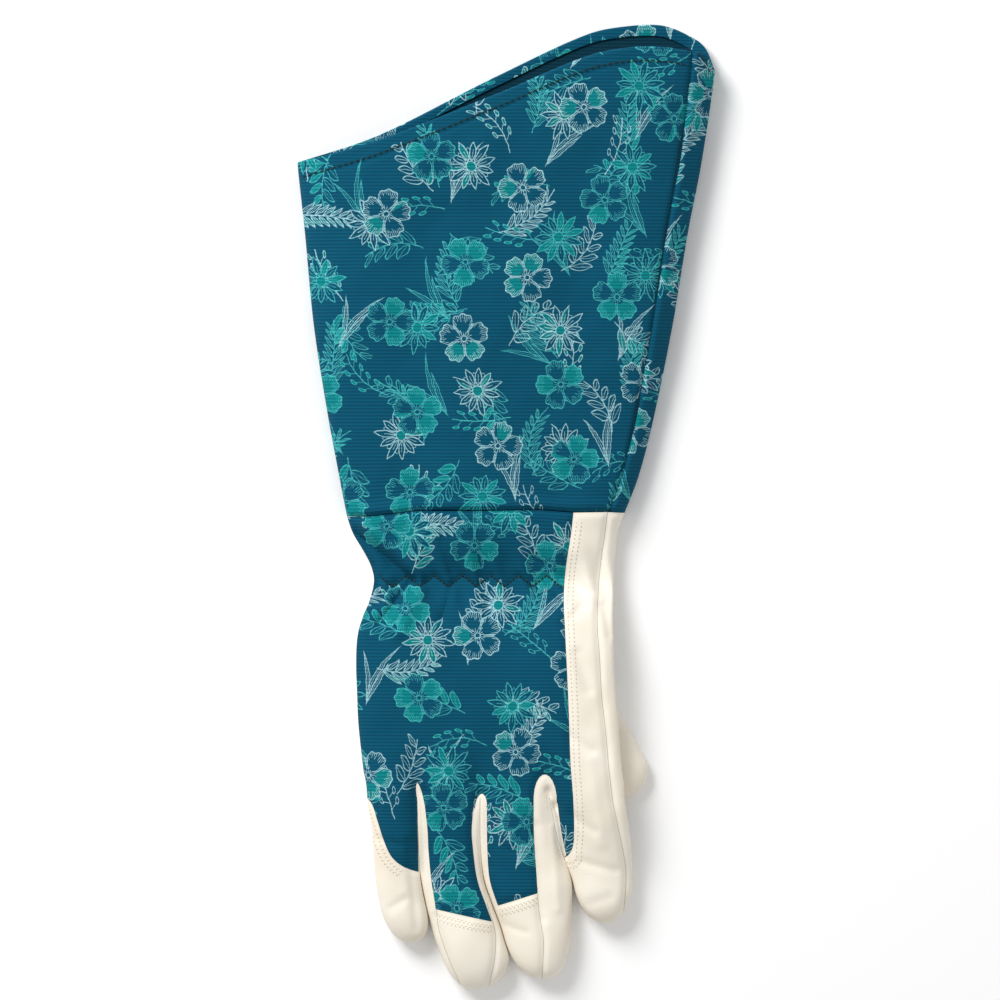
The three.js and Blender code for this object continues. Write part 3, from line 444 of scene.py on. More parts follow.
def closed(top, bottom, faces):
    """Points and faces of a body between two sheets that share one layout of quads."""
    top, bottom = top.reshape(-1, 3), bottom.reshape(-1, 3)
    count = len(top)
    edges = dict.fromkeys(edge for f in faces for edge in zip(f, f[1:] + f[:1]))
    sides = [(b, a, a + count, b + count) for a, b in edges if (b, a) not in edges]
    under = [tuple(i + count for i in reversed(f)) for f in faces]
    return np.vstack([top, bottom]), faces + under + sides


def grid_faces(index):
    """Quads over a grid of vertex numbers, facing up where x grows with columns and y falls with rows."""
    a, b, c, d = index[:-1, :-1], index[:-1, 1:], index[1:, 1:], index[1:, :-1]
    return list(map(tuple, np.stack([a, d, c, b], -1).reshape(-1, 4).tolist()))


# The hand's sections take on the fingers' over the last shares of its length
SPREAD_FROM, UNDER_LOBES_FROM = 0.9, 0.95
HAND_FADE, FINGER_FADE = 0.5, 0.6  # relief fades below this share of a section's height
FINE_TIP_ROWS, TIP_ROWS, THUMB_TIP_ROWS = 14, 4, 12


def hand_rows(inset, step, across):
    """Upper and lower sheet of the hand in rows from the hand seam to the fingers' roots, and the
    height of the last row as a share."""
    outer = inset <= 0
    roots = [finger_edges(f, np.float64(-HAND_LENGTH)) for f in FINGERS]
    root_x = np.concatenate([mid + (half - inset) * across for mid, half in roots])
    share = -1 + 2 * (root_x - root_x[0]) / (root_x[-1] - root_x[0])
    lobe = np.tile(swell(across, FINGER_SQUARE), len(FINGERS))
    end = HAND_LENGTH - inset
    rows = max(int(end / step), 6)
    along = np.linspace(0, 1, rows + 1)[:, None]
    y = -mix(0 if inset > 0 else SEAM_GAP / 2, end, along) + 0 * share
    mid, half = hand_edges(y)
    x = mix(mid + (half - inset) * share, root_x + 0 * y, smooth(SPREAD_FROM, 1, along))
    rise = swell(share, HAND_SQUARE) + 0 * y
    floor = lift(x, y)
    rooms = FINGER_HEIGHT - EDGE_HEIGHT - inset - FLATTENED * floor
    top = HAND_HEIGHT * sample(HAND_EDGES, "top", along) - EDGE_HEIGHT - inset - FLATTENED * floor
    web = WEB_OUTSIDE if outer else WEB_INSIDE
    lobes = np.minimum(rooms * (lobe**4 + (web * rise) ** 4) ** 0.25, rooms)
    up = mix(top * rise, lobes, smooth(LOBES_FROM, 1, along))
    waist = dip(y + WAIST * HAND_LENGTH, 1, PLEAT_REACH)
    swayed = x + PLEAT_SWAY * np.sin(x / PLEAT_SWAY_SIZE) + PLEAT_SLANT * (y + PLEAT_START)
    wave = 0.5 + 0.5 * np.cos(2 * np.pi * swayed / PLEAT_PITCH) if outer else 1
    folds = PLEAT_DEPTH * waist * wave + pressed(HAND_FOLDS, x, -y, HAND_WIDTH, HAND_LENGTH, CREASE_POWER)
    if outer:
        folds = DEEPEST * np.tanh((folds + relief(x, y)) / DEEPEST) * smooth(0, HAND_FADE, rise)
    else:
        folds = (FOLLOW * folds + SKIN) * rise
    under_rise = mix(rise, np.maximum(lobe + 0 * y, rise), smooth(UNDER_LOBES_FROM, 1, along))
    under = np.maximum(inset, EDGE_HEIGHT * (1 - UNDER_DEPTH * under_rise))
    upper = np.stack([x, y, floor + EDGE_HEIGHT + (up - folds)], -1)
    return upper, np.stack([x, y, floor + under], -1), rise[-1]


def finger_rows(finger, inset, step, across, hand_rise):
    """Upper and lower sheet of a finger in rows from below its root to its tip."""
    outer = inset <= 0
    reach, sideways, square = finger[2:]
    length, tip = reach - inset, FINGER_TIP - inset
    rows = max(int((length - tip) / step), 4)
    turns = np.sin(np.linspace(0, 1, (FINE_TIP_ROWS if outer else TIP_ROWS) + 1)[1:] * np.pi / 2)
    straight = np.linspace(0, length - tip, rows + 1)[1:]
    at = np.concatenate([straight, length - tip * (1 - turns)])[:, None]
    full = np.concatenate([np.ones(rows), (1 - turns**square).clip(0) ** (1 / square)])[:, None]
    lean = sideways * np.concatenate([np.zeros(rows), turns**2])[:, None]
    y = -HAND_LENGTH - (at - max(inset, 0)) + 0 * across
    mid, half = finger_edges(finger, y)
    x = mid + lean + (half - inset) * full * across
    rise = swell(across, FINGER_SQUARE) * full
    fading = 1 - smooth(*WEB_FADE, at)
    web = WEB_OUTSIDE if outer else WEB_INSIDE
    webbed = ((rise**4 + (web * hand_rise * fading) ** 4) ** 0.25).clip(max=1)
    floor = lift(x, y)
    top = FINGER_HEIGHT - inset - EDGE_HEIGHT - FLATTENED * floor
    folds = relief(x, y) * smooth(0, FINGER_FADE, rise) if outer else SKIN * rise
    under_rise = np.maximum(rise, hand_rise * fading)
    under = np.maximum(inset, EDGE_HEIGHT * (1 - UNDER_DEPTH * under_rise))
    upper = np.stack([x, y, floor + EDGE_HEIGHT + (top * webbed - folds)], -1)
    return upper, np.stack([x, y, floor + under], -1)


def hand_body(inset, step, count):
    """Outside or hollow of the hand and fingers: one sheet on top and one below."""
    across = across_places(count)
    upper, lower, rise = hand_rows(inset, step, across)
    tops, bottoms = [upper.reshape(-1, 3)], [lower.reshape(-1, 3)]
    index = numbered(*upper.shape[:2])
    faces = grid_faces(index)
    used = index.size
    for k, finger in enumerate(FINGERS):
        own = slice(k * len(across), (k + 1) * len(across))
        upper, lower = finger_rows(finger, inset, step, across, rise[own])
        tops.append(upper.reshape(-1, 3))
        bottoms.append(lower.reshape(-1, 3))
        numbers = numbered(len(upper), len(across), used)
        used += numbers.size
        faces += grid_faces(np.vstack([index[-1, own], numbers]))
    return closed(np.vstack(tops), np.vstack(bottoms), faces)


def thumb_body(inset, step, count):
    """Outside or hollow of the thumb under the palm, from its root to its tip."""
    tip = THUMB_TIP - inset
    straight = THUMB_LENGTH - THUMB_TIP
    rows = max(int(straight / step), 5)
    turns = np.sin(np.linspace(0, 1, THUMB_TIP_ROWS + 1)[1:] * np.pi / 2)
    end = THUMB_LENGTH - inset
    at = np.concatenate([np.linspace(0, straight, rows + 1), end - tip * (1 - turns)])[:, None]
    full = np.concatenate([np.ones(rows + 1), np.sqrt(np.maximum(1 - turns**2, 0))])[:, None]
    across = across_places(count)
    back = THUMB_LENGTH - at + 0 * across
    aside = (THUMB_WIDTH / 2 - inset) * full * across
    x = THUMB_END[0] - THUMB_AXIS[0] * back - THUMB_AXIS[1] * aside
    y = THUMB_END[1] - THUMB_AXIS[1] * back + THUMB_AXIS[0] * aside
    rise = swell(across, FINGER_SQUARE) * full
    under = np.maximum(inset, THUMB_EDGE * (1 - UNDER_DEPTH * rise))
    over = THUMB_EDGE + (THUMB_HEIGHT - inset - THUMB_EDGE) * rise
    root = (lift(x, y) + HAND_WALL + THUMB_SEAT) * smooth(THUMB_BEND, THUMB_ROOT, back)
    upper, lower = np.stack([x, y, root + over], -1), np.stack([x, y, root + under], -1)
    return closed(upper, lower, grid_faces(numbered(*x.shape)[:, ::-1]))


def cuff_edges(y):
    along = y / CUFF_LENGTH
    left, right = HAND_EDGES["little"][0] * HAND_WIDTH, HAND_EDGES["thumb"][0] * HAND_WIDTH
    left = left - sample(CUFF_EDGES, "little", along) * CUFF_FLARE_LITTLE
    right = right + sample(CUFF_EDGES, "thumb", along) * CUFF_FLARE_THUMB
    return middle_and_half(left, right)


# Depth and half width of the grooves at the cuff's seams and hem, and of the swellings beside the
# seams with the distance of their middles from the seam, mm
HAND_GROOVE, SIDE_GROOVE, HEM_GROOVE = (1.5, 0.9), (1.3, 0.9), (0.4, 0.9)
HAND_SWELLING, HAND_SWELLING_AT = (-0.7, 2), 3
SIDE_SWELLING, SIDE_SWELLING_AT = (-0.6, 2), -2.5
CUFF_UNEVEN_AFTER = 12  # the unevenness sets in over this length from the hand seam, mm
# Relief fades below this share of a section's height, and the under side has this share of it
CUFF_FADE, UNDER_SHARE = 0.4, 0.5


def cuff_relief(x, y, mid, half, from_rim, side):
    """How far the outside of the cuff is pressed in, mm."""
    seam = CUFF_SEAM * half - (x - mid) * side
    grooves = dip(y, *HAND_GROOVE) + dip(seam, *SIDE_GROOVE)
    swellings = dip(y - HAND_SWELLING_AT, *HAND_SWELLING), dip(seam - SIDE_SWELLING_AT, *SIDE_SWELLING)
    grooves = grooves + swellings[0] + swellings[1] + dip(from_rim - HEM_WIDTH, *HEM_GROOVE)
    return grooves + CUFF_UNEVEN * uneven(x, y) * smooth(0, CUFF_UNEVEN_AFTER, y)


def cuff_points(t, across, on_top, inset):
    """Points on the upper or under side of the cuff, t from the hand seam to the rim."""
    overhang = 0 if on_top else UNDER_OVERHANG * sample(CUFF_MOUTH, "under", across)
    reach = CUFF_LENGTH * sample(CUFF_MOUTH, "reach", across) + overhang
    if on_top:
        reach = reach - MOUTH_LEAN * swell(across, CUFF_SQUARE)
    y = mix(SEAM_GAP / 2, reach, t)
    mid, half = cuff_edges(y)
    x = mid + (half - inset) * across
    edge = mix(EDGE_HEIGHT, CUFF_EDGE_HEIGHT, t)
    rise = swell(across, mix(HAND_SQUARE, CUFF_SQUARE, t))
    outer = np.max(inset) <= 0
    pressed_in = cuff_relief(x, y, mid, half, reach - y, 1 if on_top else -1) if outer else 0
    if not on_top:
        low = np.maximum(inset, edge * (1 - UNDER_DEPTH * rise))
        return np.stack([x, y, low + np.maximum(pressed_in, 0) * UNDER_SHARE], -1)
    top = mix(HAND_HEIGHT * HAND_EDGES["top"][0], CUFF_MOUTH_HEIGHT, t)
    dent = pressed(CUFF_DENTS, x - mid, y, half, CUFF_LENGTH)
    z = edge + (top - inset - edge - dent) * rise - pressed_in * smooth(0, CUFF_FADE, rise)
    return np.stack([x, y, z], -1)


RIM_ROWS, RIM = 5, 1.1  # rows of the rolled rim and how far it reaches, mm
# Half the length over which the folded hem's thickness ends, and how far off other rows stay, shares
HEM_STEP, HEM_ROOM = 0.0013, 0.01
INSIDE_STEP = 8  # steps along the inside of the cuff, mm


def cuff_grid(side, on_top, wall, step, counts):
    """One face of a cuff panel, in rows from the hand seam to the rim, and which rows are hem."""
    hem = 1 - (HEM_WIDTH if on_top else UNDER_HEM) / CUFF_LENGTH
    rows = max(int(CUFF_LENGTH / step), 8)
    t = np.linspace(0, 1 - RIM / CUFF_LENGTH, rows + 1)
    if wall:
        t = np.sort(np.concatenate([t[abs(t - hem) > HEM_ROOM], [hem - HEM_STEP, hem + HEM_STEP]]))
    t = t[:, None]
    gap = SEAM_GAP / 2 / cuff_edges(t * CUFF_LENGTH)[1]
    u = np.linspace(0, 1, counts[0] + 1)
    seam = -side * (CUFF_SEAM - gap)
    wide = mix(mix(seam, side, u), mix(seam, side, np.sin(u * np.pi / 2)), CUFF_CROWDED)
    v = 1 - np.cos(np.linspace(0, 1, counts[1] + 1)[1:] * np.pi / 2)
    narrow = mix(side + 0 * gap, side * (CUFF_SEAM + gap), v)
    inset = np.where(t > hem, wall + HEM_FOLD, wall) if wall else 0
    sheets = cuff_points(t, wide, on_top, inset), cuff_points(t, narrow, not on_top, inset)
    return np.concatenate(sheets, 1), t[:, 0] > hem


def cuff_panel(side, on_top, step, counts):
    """A closed panel with a fine outside, a coarser inside and a rolled rim, and its printed points."""
    outer, _ = cuff_grid(side, on_top, 0, step, counts)
    inner, turned_in = cuff_grid(side, on_top, CUFF_WALL, INSIDE_STEP, counts)
    centre, arm = (outer[-1] + inner[-1]) / 2, (outer[-1] - inner[-1]) / 2
    turns = [math.pi * k / (RIM_ROWS + 1) for k in range(1, RIM_ROWS + 1)]
    roll = [centre + arm * math.cos(turn) + np.array([0, RIM, 0]) * math.sin(turn) for turn in turns]
    points = np.concatenate([part.reshape(-1, 3) for part in (outer, np.array(roll), inner)])
    columns = outer.shape[1]
    front = numbered(len(outer) + RIM_ROWS, columns)
    back = numbered(len(inner), columns, front.size)
    faces = grid_faces(np.vstack([front, back[::-1], front[:1]]))
    for column, flip in ((0, False), (-1, True)):
        outside, inside = front[:, column], back[:, column]
        i = k = 0
        while i + 1 < len(outside) or k + 1 < len(inside):
            ahead = (i + 1) / len(outside) <= (k + 1) / len(inside)
            if (ahead and i + 1 < len(outside)) or k + 1 >= len(inside):
                face = (outside[i], outside[i + 1], inside[k])
                i += 1
            else:
                face = (outside[i], inside[k + 1], inside[k])
                k += 1
            faces.append(tuple(map(int, face[::-1] if flip else face)))
    return points, faces, np.concatenate([np.ones(front.size), np.repeat(turned_in, columns)])


# Bodies and cuts
scene = bpy.context.scene
MERGE = 1e-4  # points closer than this are one, mm


def body(points, faces, printed=None):
    """A closed body in mm. printed tells which points carry the print, where that is known."""
    mesh = bpy.data.meshes.new("body")
    mesh.from_pydata(np.asarray(points).tolist(), [], faces)
    if printed is not None:
        mesh.attributes.new("printed", "FLOAT", "POINT").data.foreach_set("value", printed.tolist())
    bm = bmesh.new()
    bm.from_mesh(mesh)
    bmesh.ops.remove_doubles(bm, verts=bm.verts, dist=MERGE)
    bmesh.ops.dissolve_degenerate(bm, edges=bm.edges, dist=MERGE / 2)
    bmesh.ops.recalc_face_normals(bm, faces=bm.faces)
    bm.to_mesh(mesh)
    bm.free()
    o = bpy.data.objects.new("body", mesh)
    scene.collection.objects.link(o)
    return o


def cut(base, tool, operation):
    """A new body: the base met, joined or cut with the tool."""
    o = base.copy()
    scene.collection.objects.link(o)
    change = o.modifiers.new("cut", "BOOLEAN")
    change.object, change.operation, change.solver = tool, operation, "MANIFOLD"
    bpy.context.view_layer.update()
    seen = o.evaluated_get(bpy.context.evaluated_depsgraph_get())
    mesh = bpy.data.meshes.new_from_object(seen)
    o.modifiers.clear()
    o.data = mesh
    return o


def without(base, tool):
    return cut(base, tool, "DIFFERENCE")


def within(base, tool):
    return cut(base, tool, "INTERSECT")


def upright(outline):
    """An upright body over an outline."""
    count = len(outline)
    low, high = [np.column_stack([outline, np.full(count, z)]) for z in (-TALL, TALL)]
    faces = [tuple(range(count)), tuple(range(2 * count - 1, count - 1, -1))]
    faces += [(i, (i + 1) % count, (i + 1) % count + count, i + count) for i in range(count)]
    return body(np.vstack([low, high]), faces)


def beyond(line):
    """All on the thumb side of a line."""
    return upright(np.vstack([(WIDE, line[0][1]), line, (WIDE, line[-1][1])]))


FIELD = (4, -225)  # the hand and fingers end to end, with room to spare, mm


def above(move):
    """All above the side folds."""
    x, y = np.meshgrid(np.linspace(-WIDE / 2, WIDE / 2, 81), np.linspace(*FIELD, 91))
    low = np.stack([x, y, EDGE_HEIGHT + lift(x, y) + move], -1)
    high = np.stack([x, y, x * 0 + TALL], -1)
    return body(*closed(high, low, grid_faces(numbered(*x.shape))))


CAP_ROOM = 0.03  # how far the fingertips' caps may reach back from the print's end


def past(cap):
    """All on the fingertips' side of a cap's start."""
    start = -HAND_LENGTH - (min(cap) - CAP_ROOM) * FINGER_REACH
    end = -2 * WIDE
    return upright(np.array([(-WIDE, start), (WIDE, start), (WIDE, end), (-WIDE, end)]))


def between(base, left, right):
    return without(within(base, beyond(left)), beyond(right))


HALF_GAP = SEAM_GAP / 2
THUMB_INSIDE = -2.5  # the thumb's bodies end this far below the palm's side folds, inside the hand
thumb_room = body(*thumb_body(HAND_WALL, step=4.0, count=12))
shell = without(body(*hand_body(0, step=0.75, count=46)), body(*hand_body(HAND_WALL, step=5.0, count=10)))
shell = without(shell, without(thumb_room, above(THUMB_INSIDE)))
upper = without(within(shell, above(HALF_GAP)), beyond(side_seam(-HALF_GAP)))
leather_top = without(upper, upright(print_outline(HALF_GAP)))

ring_room = upright(np.vstack([cap_line("ringLeft", -HALF_GAP), cap_line("ringRight", HALF_GAP)[::-1]]))
middle_room = upright(np.vstack([crease("ringMiddle"), cap_line("middleRight", HALF_GAP)[::-1]]))
bands = without(leather_top, within(ring_room, past(RING_CAP)))
bands = without(bands, within(middle_room, past(MIDDLE_CAP)))
ring_cap = between(leather_top, cap_line("ringLeft", HALF_GAP), cap_line("ringRight", -HALF_GAP))
middle_cap = between(leather_top, crease("ringMiddle"), cap_line("middleRight", -HALF_GAP))
ring_line = cap_middle(CAP_SEAMS, "ringLeft", "ringRight")
middle_line = cap_middle(FINGER_EDGES, "ringMiddle", "middleRight")
thumb = without(without(body(*thumb_body(0, step=1.0, count=40)), thumb_room), above(THUMB_INSIDE))

panels = {
    "palm": without(shell, without(above(-HALF_GAP), beyond(side_seam(HALF_GAP)))),
    "hand_back": within(upper, upright(print_outline(-HALF_GAP))),
    "little_cap": without(leather_top, beyond(crease("littleRing"))),
    "ring_cap": within(ring_cap, past(RING_CAP)),
    "middle_cap": within(middle_cap, past(MIDDLE_CAP)),
    "thumb": without(thumb, body(*hand_body(-THUMB_SEAT, step=3.0, count=16))),
    "cuff_upper": body(*cuff_panel(-1, True, 0.8, (190, 24))),
    "cuff_under": body(*cuff_panel(1, False, 1.2, (120, 24))),
    "index_cover": within(leather_top, beyond(INDEX_LINE)),
    "band_little_ring": between(bands, crease("littleRing"), ring_line),
    "band_ring_middle": between(bands, ring_line, middle_line),
    "band_middle_index": between(bands, middle_line, INDEX_LINE),
}
CLOTH = ("cuff_upper", "cuff_under", "hand_back")
wanted = {o.name for o in panels.values()}
for o in list(scene.collection.objects):
    if o.type == "MESH" and o.name not in wanted and o.name.startswith("body"):
        bpy.data.objects.remove(o)


# Materials
def srgb(r, g, b):
    return tuple(((c / 255) ** 2.2) for c in (r, g, b)) + (1,)


# The back of the cloth is unprinted, as the real back is, and darker than the petrol face: that darkening
# is painted shade for the inside of the cuff
PETROL, BACK_OF_CLOTH_WITH_PAINTED_SHADE = srgb(0, 76, 100), srgb(10, 54, 70)
TEAL, MINT, AQUA = srgb(10, 122, 126), srgb(74, 184, 184), srgb(168, 218, 224)


class Sum:
    """A number or colour in the tree of the material made last. Sums of it add math nodes to it."""
    tree = None

    def __init__(self, socket):
        self.socket = socket

    def __add__(self, other):
        return calculated("ADD", self, other)

    def __sub__(self, other):
        return calculated("SUBTRACT", self, other)

    def __rsub__(self, other):
        return calculated("SUBTRACT", other, self)

    def __mul__(self, other):
        return calculated("MULTIPLY", self, other)

    def __truediv__(self, other):
        return calculated("DIVIDE", self, other)

    def __abs__(self):
        return calculated("ABSOLUTE", self)

    __radd__, __rmul__ = __add__, __mul__


def put(kind, *values, output=0, **settings):
    """Adds a node with its inputs in order, and gives one output."""
    node = Sum.tree.nodes.new("ShaderNode" + kind)
    for name, value in settings.items():
        setattr(node, name, value)
    for slot, value in enumerate(values):
        if isinstance(value, Sum):
            Sum.tree.links.new(value.socket, node.inputs[slot])
        elif value is not None:
            node.inputs[slot].default_value = value
    return Sum(node.outputs[output])


def calculated(operation, *values):
    return put("Math", *values, operation=operation)


def feed(shader, name, value):
    """Gives a shader's input a number or colour, or what a node puts out."""
    if isinstance(value, Sum):
        Sum.tree.links.new(value.socket, shader.inputs[name])
    else:
        shader.inputs[name].default_value = value


def new_material(name, colour=None, roughness=0.9):
    material = bpy.data.materials.new(name)
    material.use_nodes = True
    Sum.tree = material.node_tree
    Sum.tree.nodes.clear()
    out = Sum.tree.nodes.new("ShaderNodeOutputMaterial")
    shader = Sum.tree.nodes.new("ShaderNodeBsdfPrincipled")
    Sum.tree.links.new(shader.outputs[0], out.inputs[0])
    feed(shader, "Roughness", roughness)
    if colour:
        feed(shader, "Base Color", colour)
    return material, shader


def shaded(value, dark, light, low=0.0, high=1.0):
    """A colour from dark to light as a value goes from low to high."""
    shade = put("ValToRGB", value)
    ends = shade.socket.node.color_ramp.elements
    ends[0].position, ends[1].position = low, high
    ends[0].color, ends[1].color = dark, light
    return shade


def leather_material():
    material, shader = new_material("grain leather", roughness=0.6)
    place = put("TexCoord", output="Object")
    cloud = put("TexNoise", place, None, 35, 4)
    grain = put("TexNoise", place, None, 900, 3)
    feed(shader, "Base Color", shaded(cloud, srgb(230, 220, 202), srgb(239, 232, 218), 0.3, 0.7))
    feed(shader, "Normal", put("Bump", 0.35, 0.2 * MM, None, grain))
    return material


# Print: a loose field of garden plants drawn in lines, worked out by nodes in mm on the flat cloth
def floor_of(value):
    return calculated("FLOOR", value)


def ramp(value, low, high):
    return put("MapRange", value, low, high, 0, 1, interpolation_type="SMOOTHSTEP")


def less(value, limit):
    return calculated("LESS_THAN", value, limit)


def most(*values):
    top = values[0]
    for value in values[1:]:
        top = calculated("MAXIMUM", top, value)
    return top


def painted(colour, tint, amount, blend="MIX"):
    return put("Mix", amount, *[None] * 5, colour, tint, output=2, data_type="RGBA", blend_type=blend)


def chances(a, b, seed):
    """Three random numbers for a pair of whole numbers."""
    noise = put("TexWhiteNoise", put("CombineXYZ", a, b, seed), output=1, noise_dimensions="3D")
    split = put("SeparateColor", noise).socket.node
    return [Sum(output) for output in split.outputs]


def scattered(x, y, cell, seed, jitter, spread):
    """Own axes of the plant in each cell of a grid, in mm from its middle, and its random numbers."""
    gy = y / cell + seed * 0.61
    iy = floor_of(gy)
    gx = x / cell + seed * 0.37 + calculated("FRACT", iy * 0.5)
    ix = floor_of(gx)
    chance = chances(ix, iy, seed)
    u = (gx - ix - 0.5) * cell - (chance[0] - 0.5) * jitter
    v = (gy - iy - 0.5) * cell - (chance[1] - 0.5) * jitter
    turn = (chance[2] - 0.5) * spread
    c, s = calculated("COSINE", turn), calculated("SINE", turn)
    return u * c + v * s, v * c - u * s, chance


SOFT_INSIDE, SOFT_OUTSIDE = 0.13, 0.1  # how far a line's ink fades to each side of its edge, mm


def stroke(far, width):
    """Ink at a distance from a line."""
    return 1 - ramp(abs(far), width / 2 - SOFT_INSIDE, width / 2 + SOFT_OUTSIDE)


def leaf(along, aside, length, half):
    """Distance from a pointed leaf's outline, less than nothing inside it."""
    t = along / length
    return abs(aside) - t * (1 - t) * (4 * half)


def petals(u, v, count, start=0.0):
    """Distance from the middle, the petal's number and the angle from its axis."""
    far = calculated("SQRT", u * u + v * v)
    share = calculated("ARCTAN2", v, u) * (count / 2 / math.pi) + start
    number = floor_of(share)
    return far, number, (share - number - 0.5) * (2 * math.pi / count)


# In the plants below, numbers are mm on the cloth, widths of strokes and shares of chance
DAISY_PETALS, DAISY_MIDDLE = 11, 2.1
BLOSSOM_PETALS, BLOSSOM_REACH, BLOSSOM_MIDDLE, HALF_PETAL = 5, 10.2, 1.1, 0.628
HATCHES, STAMENS = 11, 2.6  # to one radian


def daisy(u, v, chance):
    """Pointed petals round a filled middle, with a second row of petals behind them."""
    far, number, turn = petals(u, v, DAISY_PETALS)
    own = chances(number, chance[0] * 40, 3)
    along, aside = far * calculated("COSINE", turn), far * calculated("SINE", turn)
    edge = leaf(along - 2.2, aside, own[0] * 2.6 + 6.9, 1.3)
    back, _, other_turn = petals(u, v, DAISY_PETALS, 0.5)
    along_behind = back * calculated("COSINE", other_turn) - 3.6
    behind = leaf(along_behind, back * calculated("SINE", other_turn), 4.4, 1.2)
    middle = stroke(far - DAISY_MIDDLE, 0.4)
    vein = stroke(aside, 0.22) * less(edge, -0.3) * less(far, 7)
    lines = most(stroke(edge, 0.42), vein, stroke(behind, 0.3) * less(0, edge), middle)
    fills = most(less(far, DAISY_MIDDLE), less(edge, 0) * less(own[1], 0.3))
    return lines, fills, most(less(edge, 0), less(far, DAISY_MIDDLE))


def blossom(u, v, chance):
    """Five broad ruffled petals, hatched from their edges, and stamens."""
    far, number, turn = petals(u, v, BLOSSOM_PETALS, 0.23)
    ruffle = calculated("COSINE", turn * 17) * 0.35
    side = abs(turn) * 1.6
    rim = BLOSSOM_REACH - side * side * side * 3.4 + ruffle
    spoke = turn * HATCHES
    line = floor_of(spoke + 0.5)
    own = chances(line, number, 7)
    hatch = stroke((spoke - line) / HATCHES * far, 0.22) * less(rim - own[0] * 2.2 - 1.2, far)
    gap = (HALF_PETAL - abs(turn)) * far - 0.3
    ray = turn * STAMENS
    ray_number = floor_of(ray + 0.5)
    ray_chance = chances(ray_number, number, 12)
    stamen = stroke((ray - ray_number) / STAMENS * far, 0.26) * less(far, ray_chance[0] * 1.6 + 2.4)
    between_petals = stroke(gap, 0.34) * less(far, rim) * less(2.6, far)
    lines = most(stroke(far - rim, 0.5), between_petals, hatch * less(far, rim),
                 stamen * less(BLOSSOM_MIDDLE, far), stroke(far - BLOSSOM_MIDDLE, 0.4))
    hue = chances(number, chance[1] * 30, 9)
    return lines, less(far, rim) * less(hue[0], 0.42) * less(0, gap) * less(3.2, far), less(far, rim)


def sprig(u, v, chance, reach, pitch, slope, length, half, round_ends):
    """A bowed stem with leaves, or stalks with berries, up both sides."""
    bow = (chance[1] - 0.5) * 0.05
    u = u - v * v * bow
    out = abs(u)
    side = calculated("SIGN", u) * (pitch / 4)
    lean = math.hypot(1, slope)
    at = (v - out * slope + side) / pitch
    number = floor_of(at)
    aside = (at - number - 0.5) * (pitch / lean)
    height_up = (number + 0.5) * (pitch / reach)
    on_stem = less(abs(height_up + 0.1), 0.82)
    size = 1.12 - height_up * 0.38
    along = out * lean
    stem = stroke(u, 0.42) * less(abs(v), reach)
    if round_ends:
        ball = calculated("SQRT", (along - length) * (along - length) + aside * aside) - half
        stalk = stroke(aside, 0.26) * less(along, length - half)
        lines = most(stem, on_stem * most(stroke(ball, 0.36), stalk))
        return lines, less(ball, 0) * on_stem * less(chance[0], 0.6), 0
    edge = leaf(along - 0.2, aside, size * length, size * half)
    lines = most(stem, on_stem * most(stroke(edge, 0.36), stroke(aside, 0.2) * less(edge, -0.2)))
    return lines, less(edge, 0) * on_stem * less(abs(u - out), 0.01) * less(chance[0], 0.5), 0


def blades(u, v, chance, reach):
    """Three long bent blades out of one root."""
    up = v + reach
    lines = 0
    for bend, lean, share in ((0.016, -0.1, 1.9), (-0.012, -0.05, 1.5), (0.004, 0.22, 1.3)):
        aside = u - up * up * bend - up * lean
        edge = leaf(up, aside, reach * share, 0.85)
        lines = most(stroke(edge, 0.34), stroke(aside, 0.18) * less(edge, -0.2), lines)
    return lines, 0, 0


# Each layer: cell size in mm, seed, random shift, turn of each plant and of the grid, and the plant
LAYERS = (
    (43, 2, 14, 1.8, 0.3, lambda u, v, c: blades(u, v, c, 13.5)),
    (37, 5, 10, 6.3, 1.1, lambda u, v, c: sprig(u, v, c, 12.5, 5.2, 0.85, 6.2, 1.25, False)),
    (47, 8, 14, 2.6, -0.5, lambda u, v, c: sprig(u, v, c, 15, 3.4, 1.15, 5.6, 0.62, False)),
    (45, 13, 14, 2.2, 0.8, lambda u, v, c: sprig(u, v, c, 12.5, 4.6, 0.9, 4.3, 0.95, True)),
    (41, 17, 18, 6.3, 0.55, daisy),
    (37, 29, 13, 6.3, -0.3, blossom))
RIB_PITCH, WOBBLE = 1.45, 1.1  # mm
FILL_INK, LINE_INK, PALE_SHARE = 0.9, 0.68, 0.45


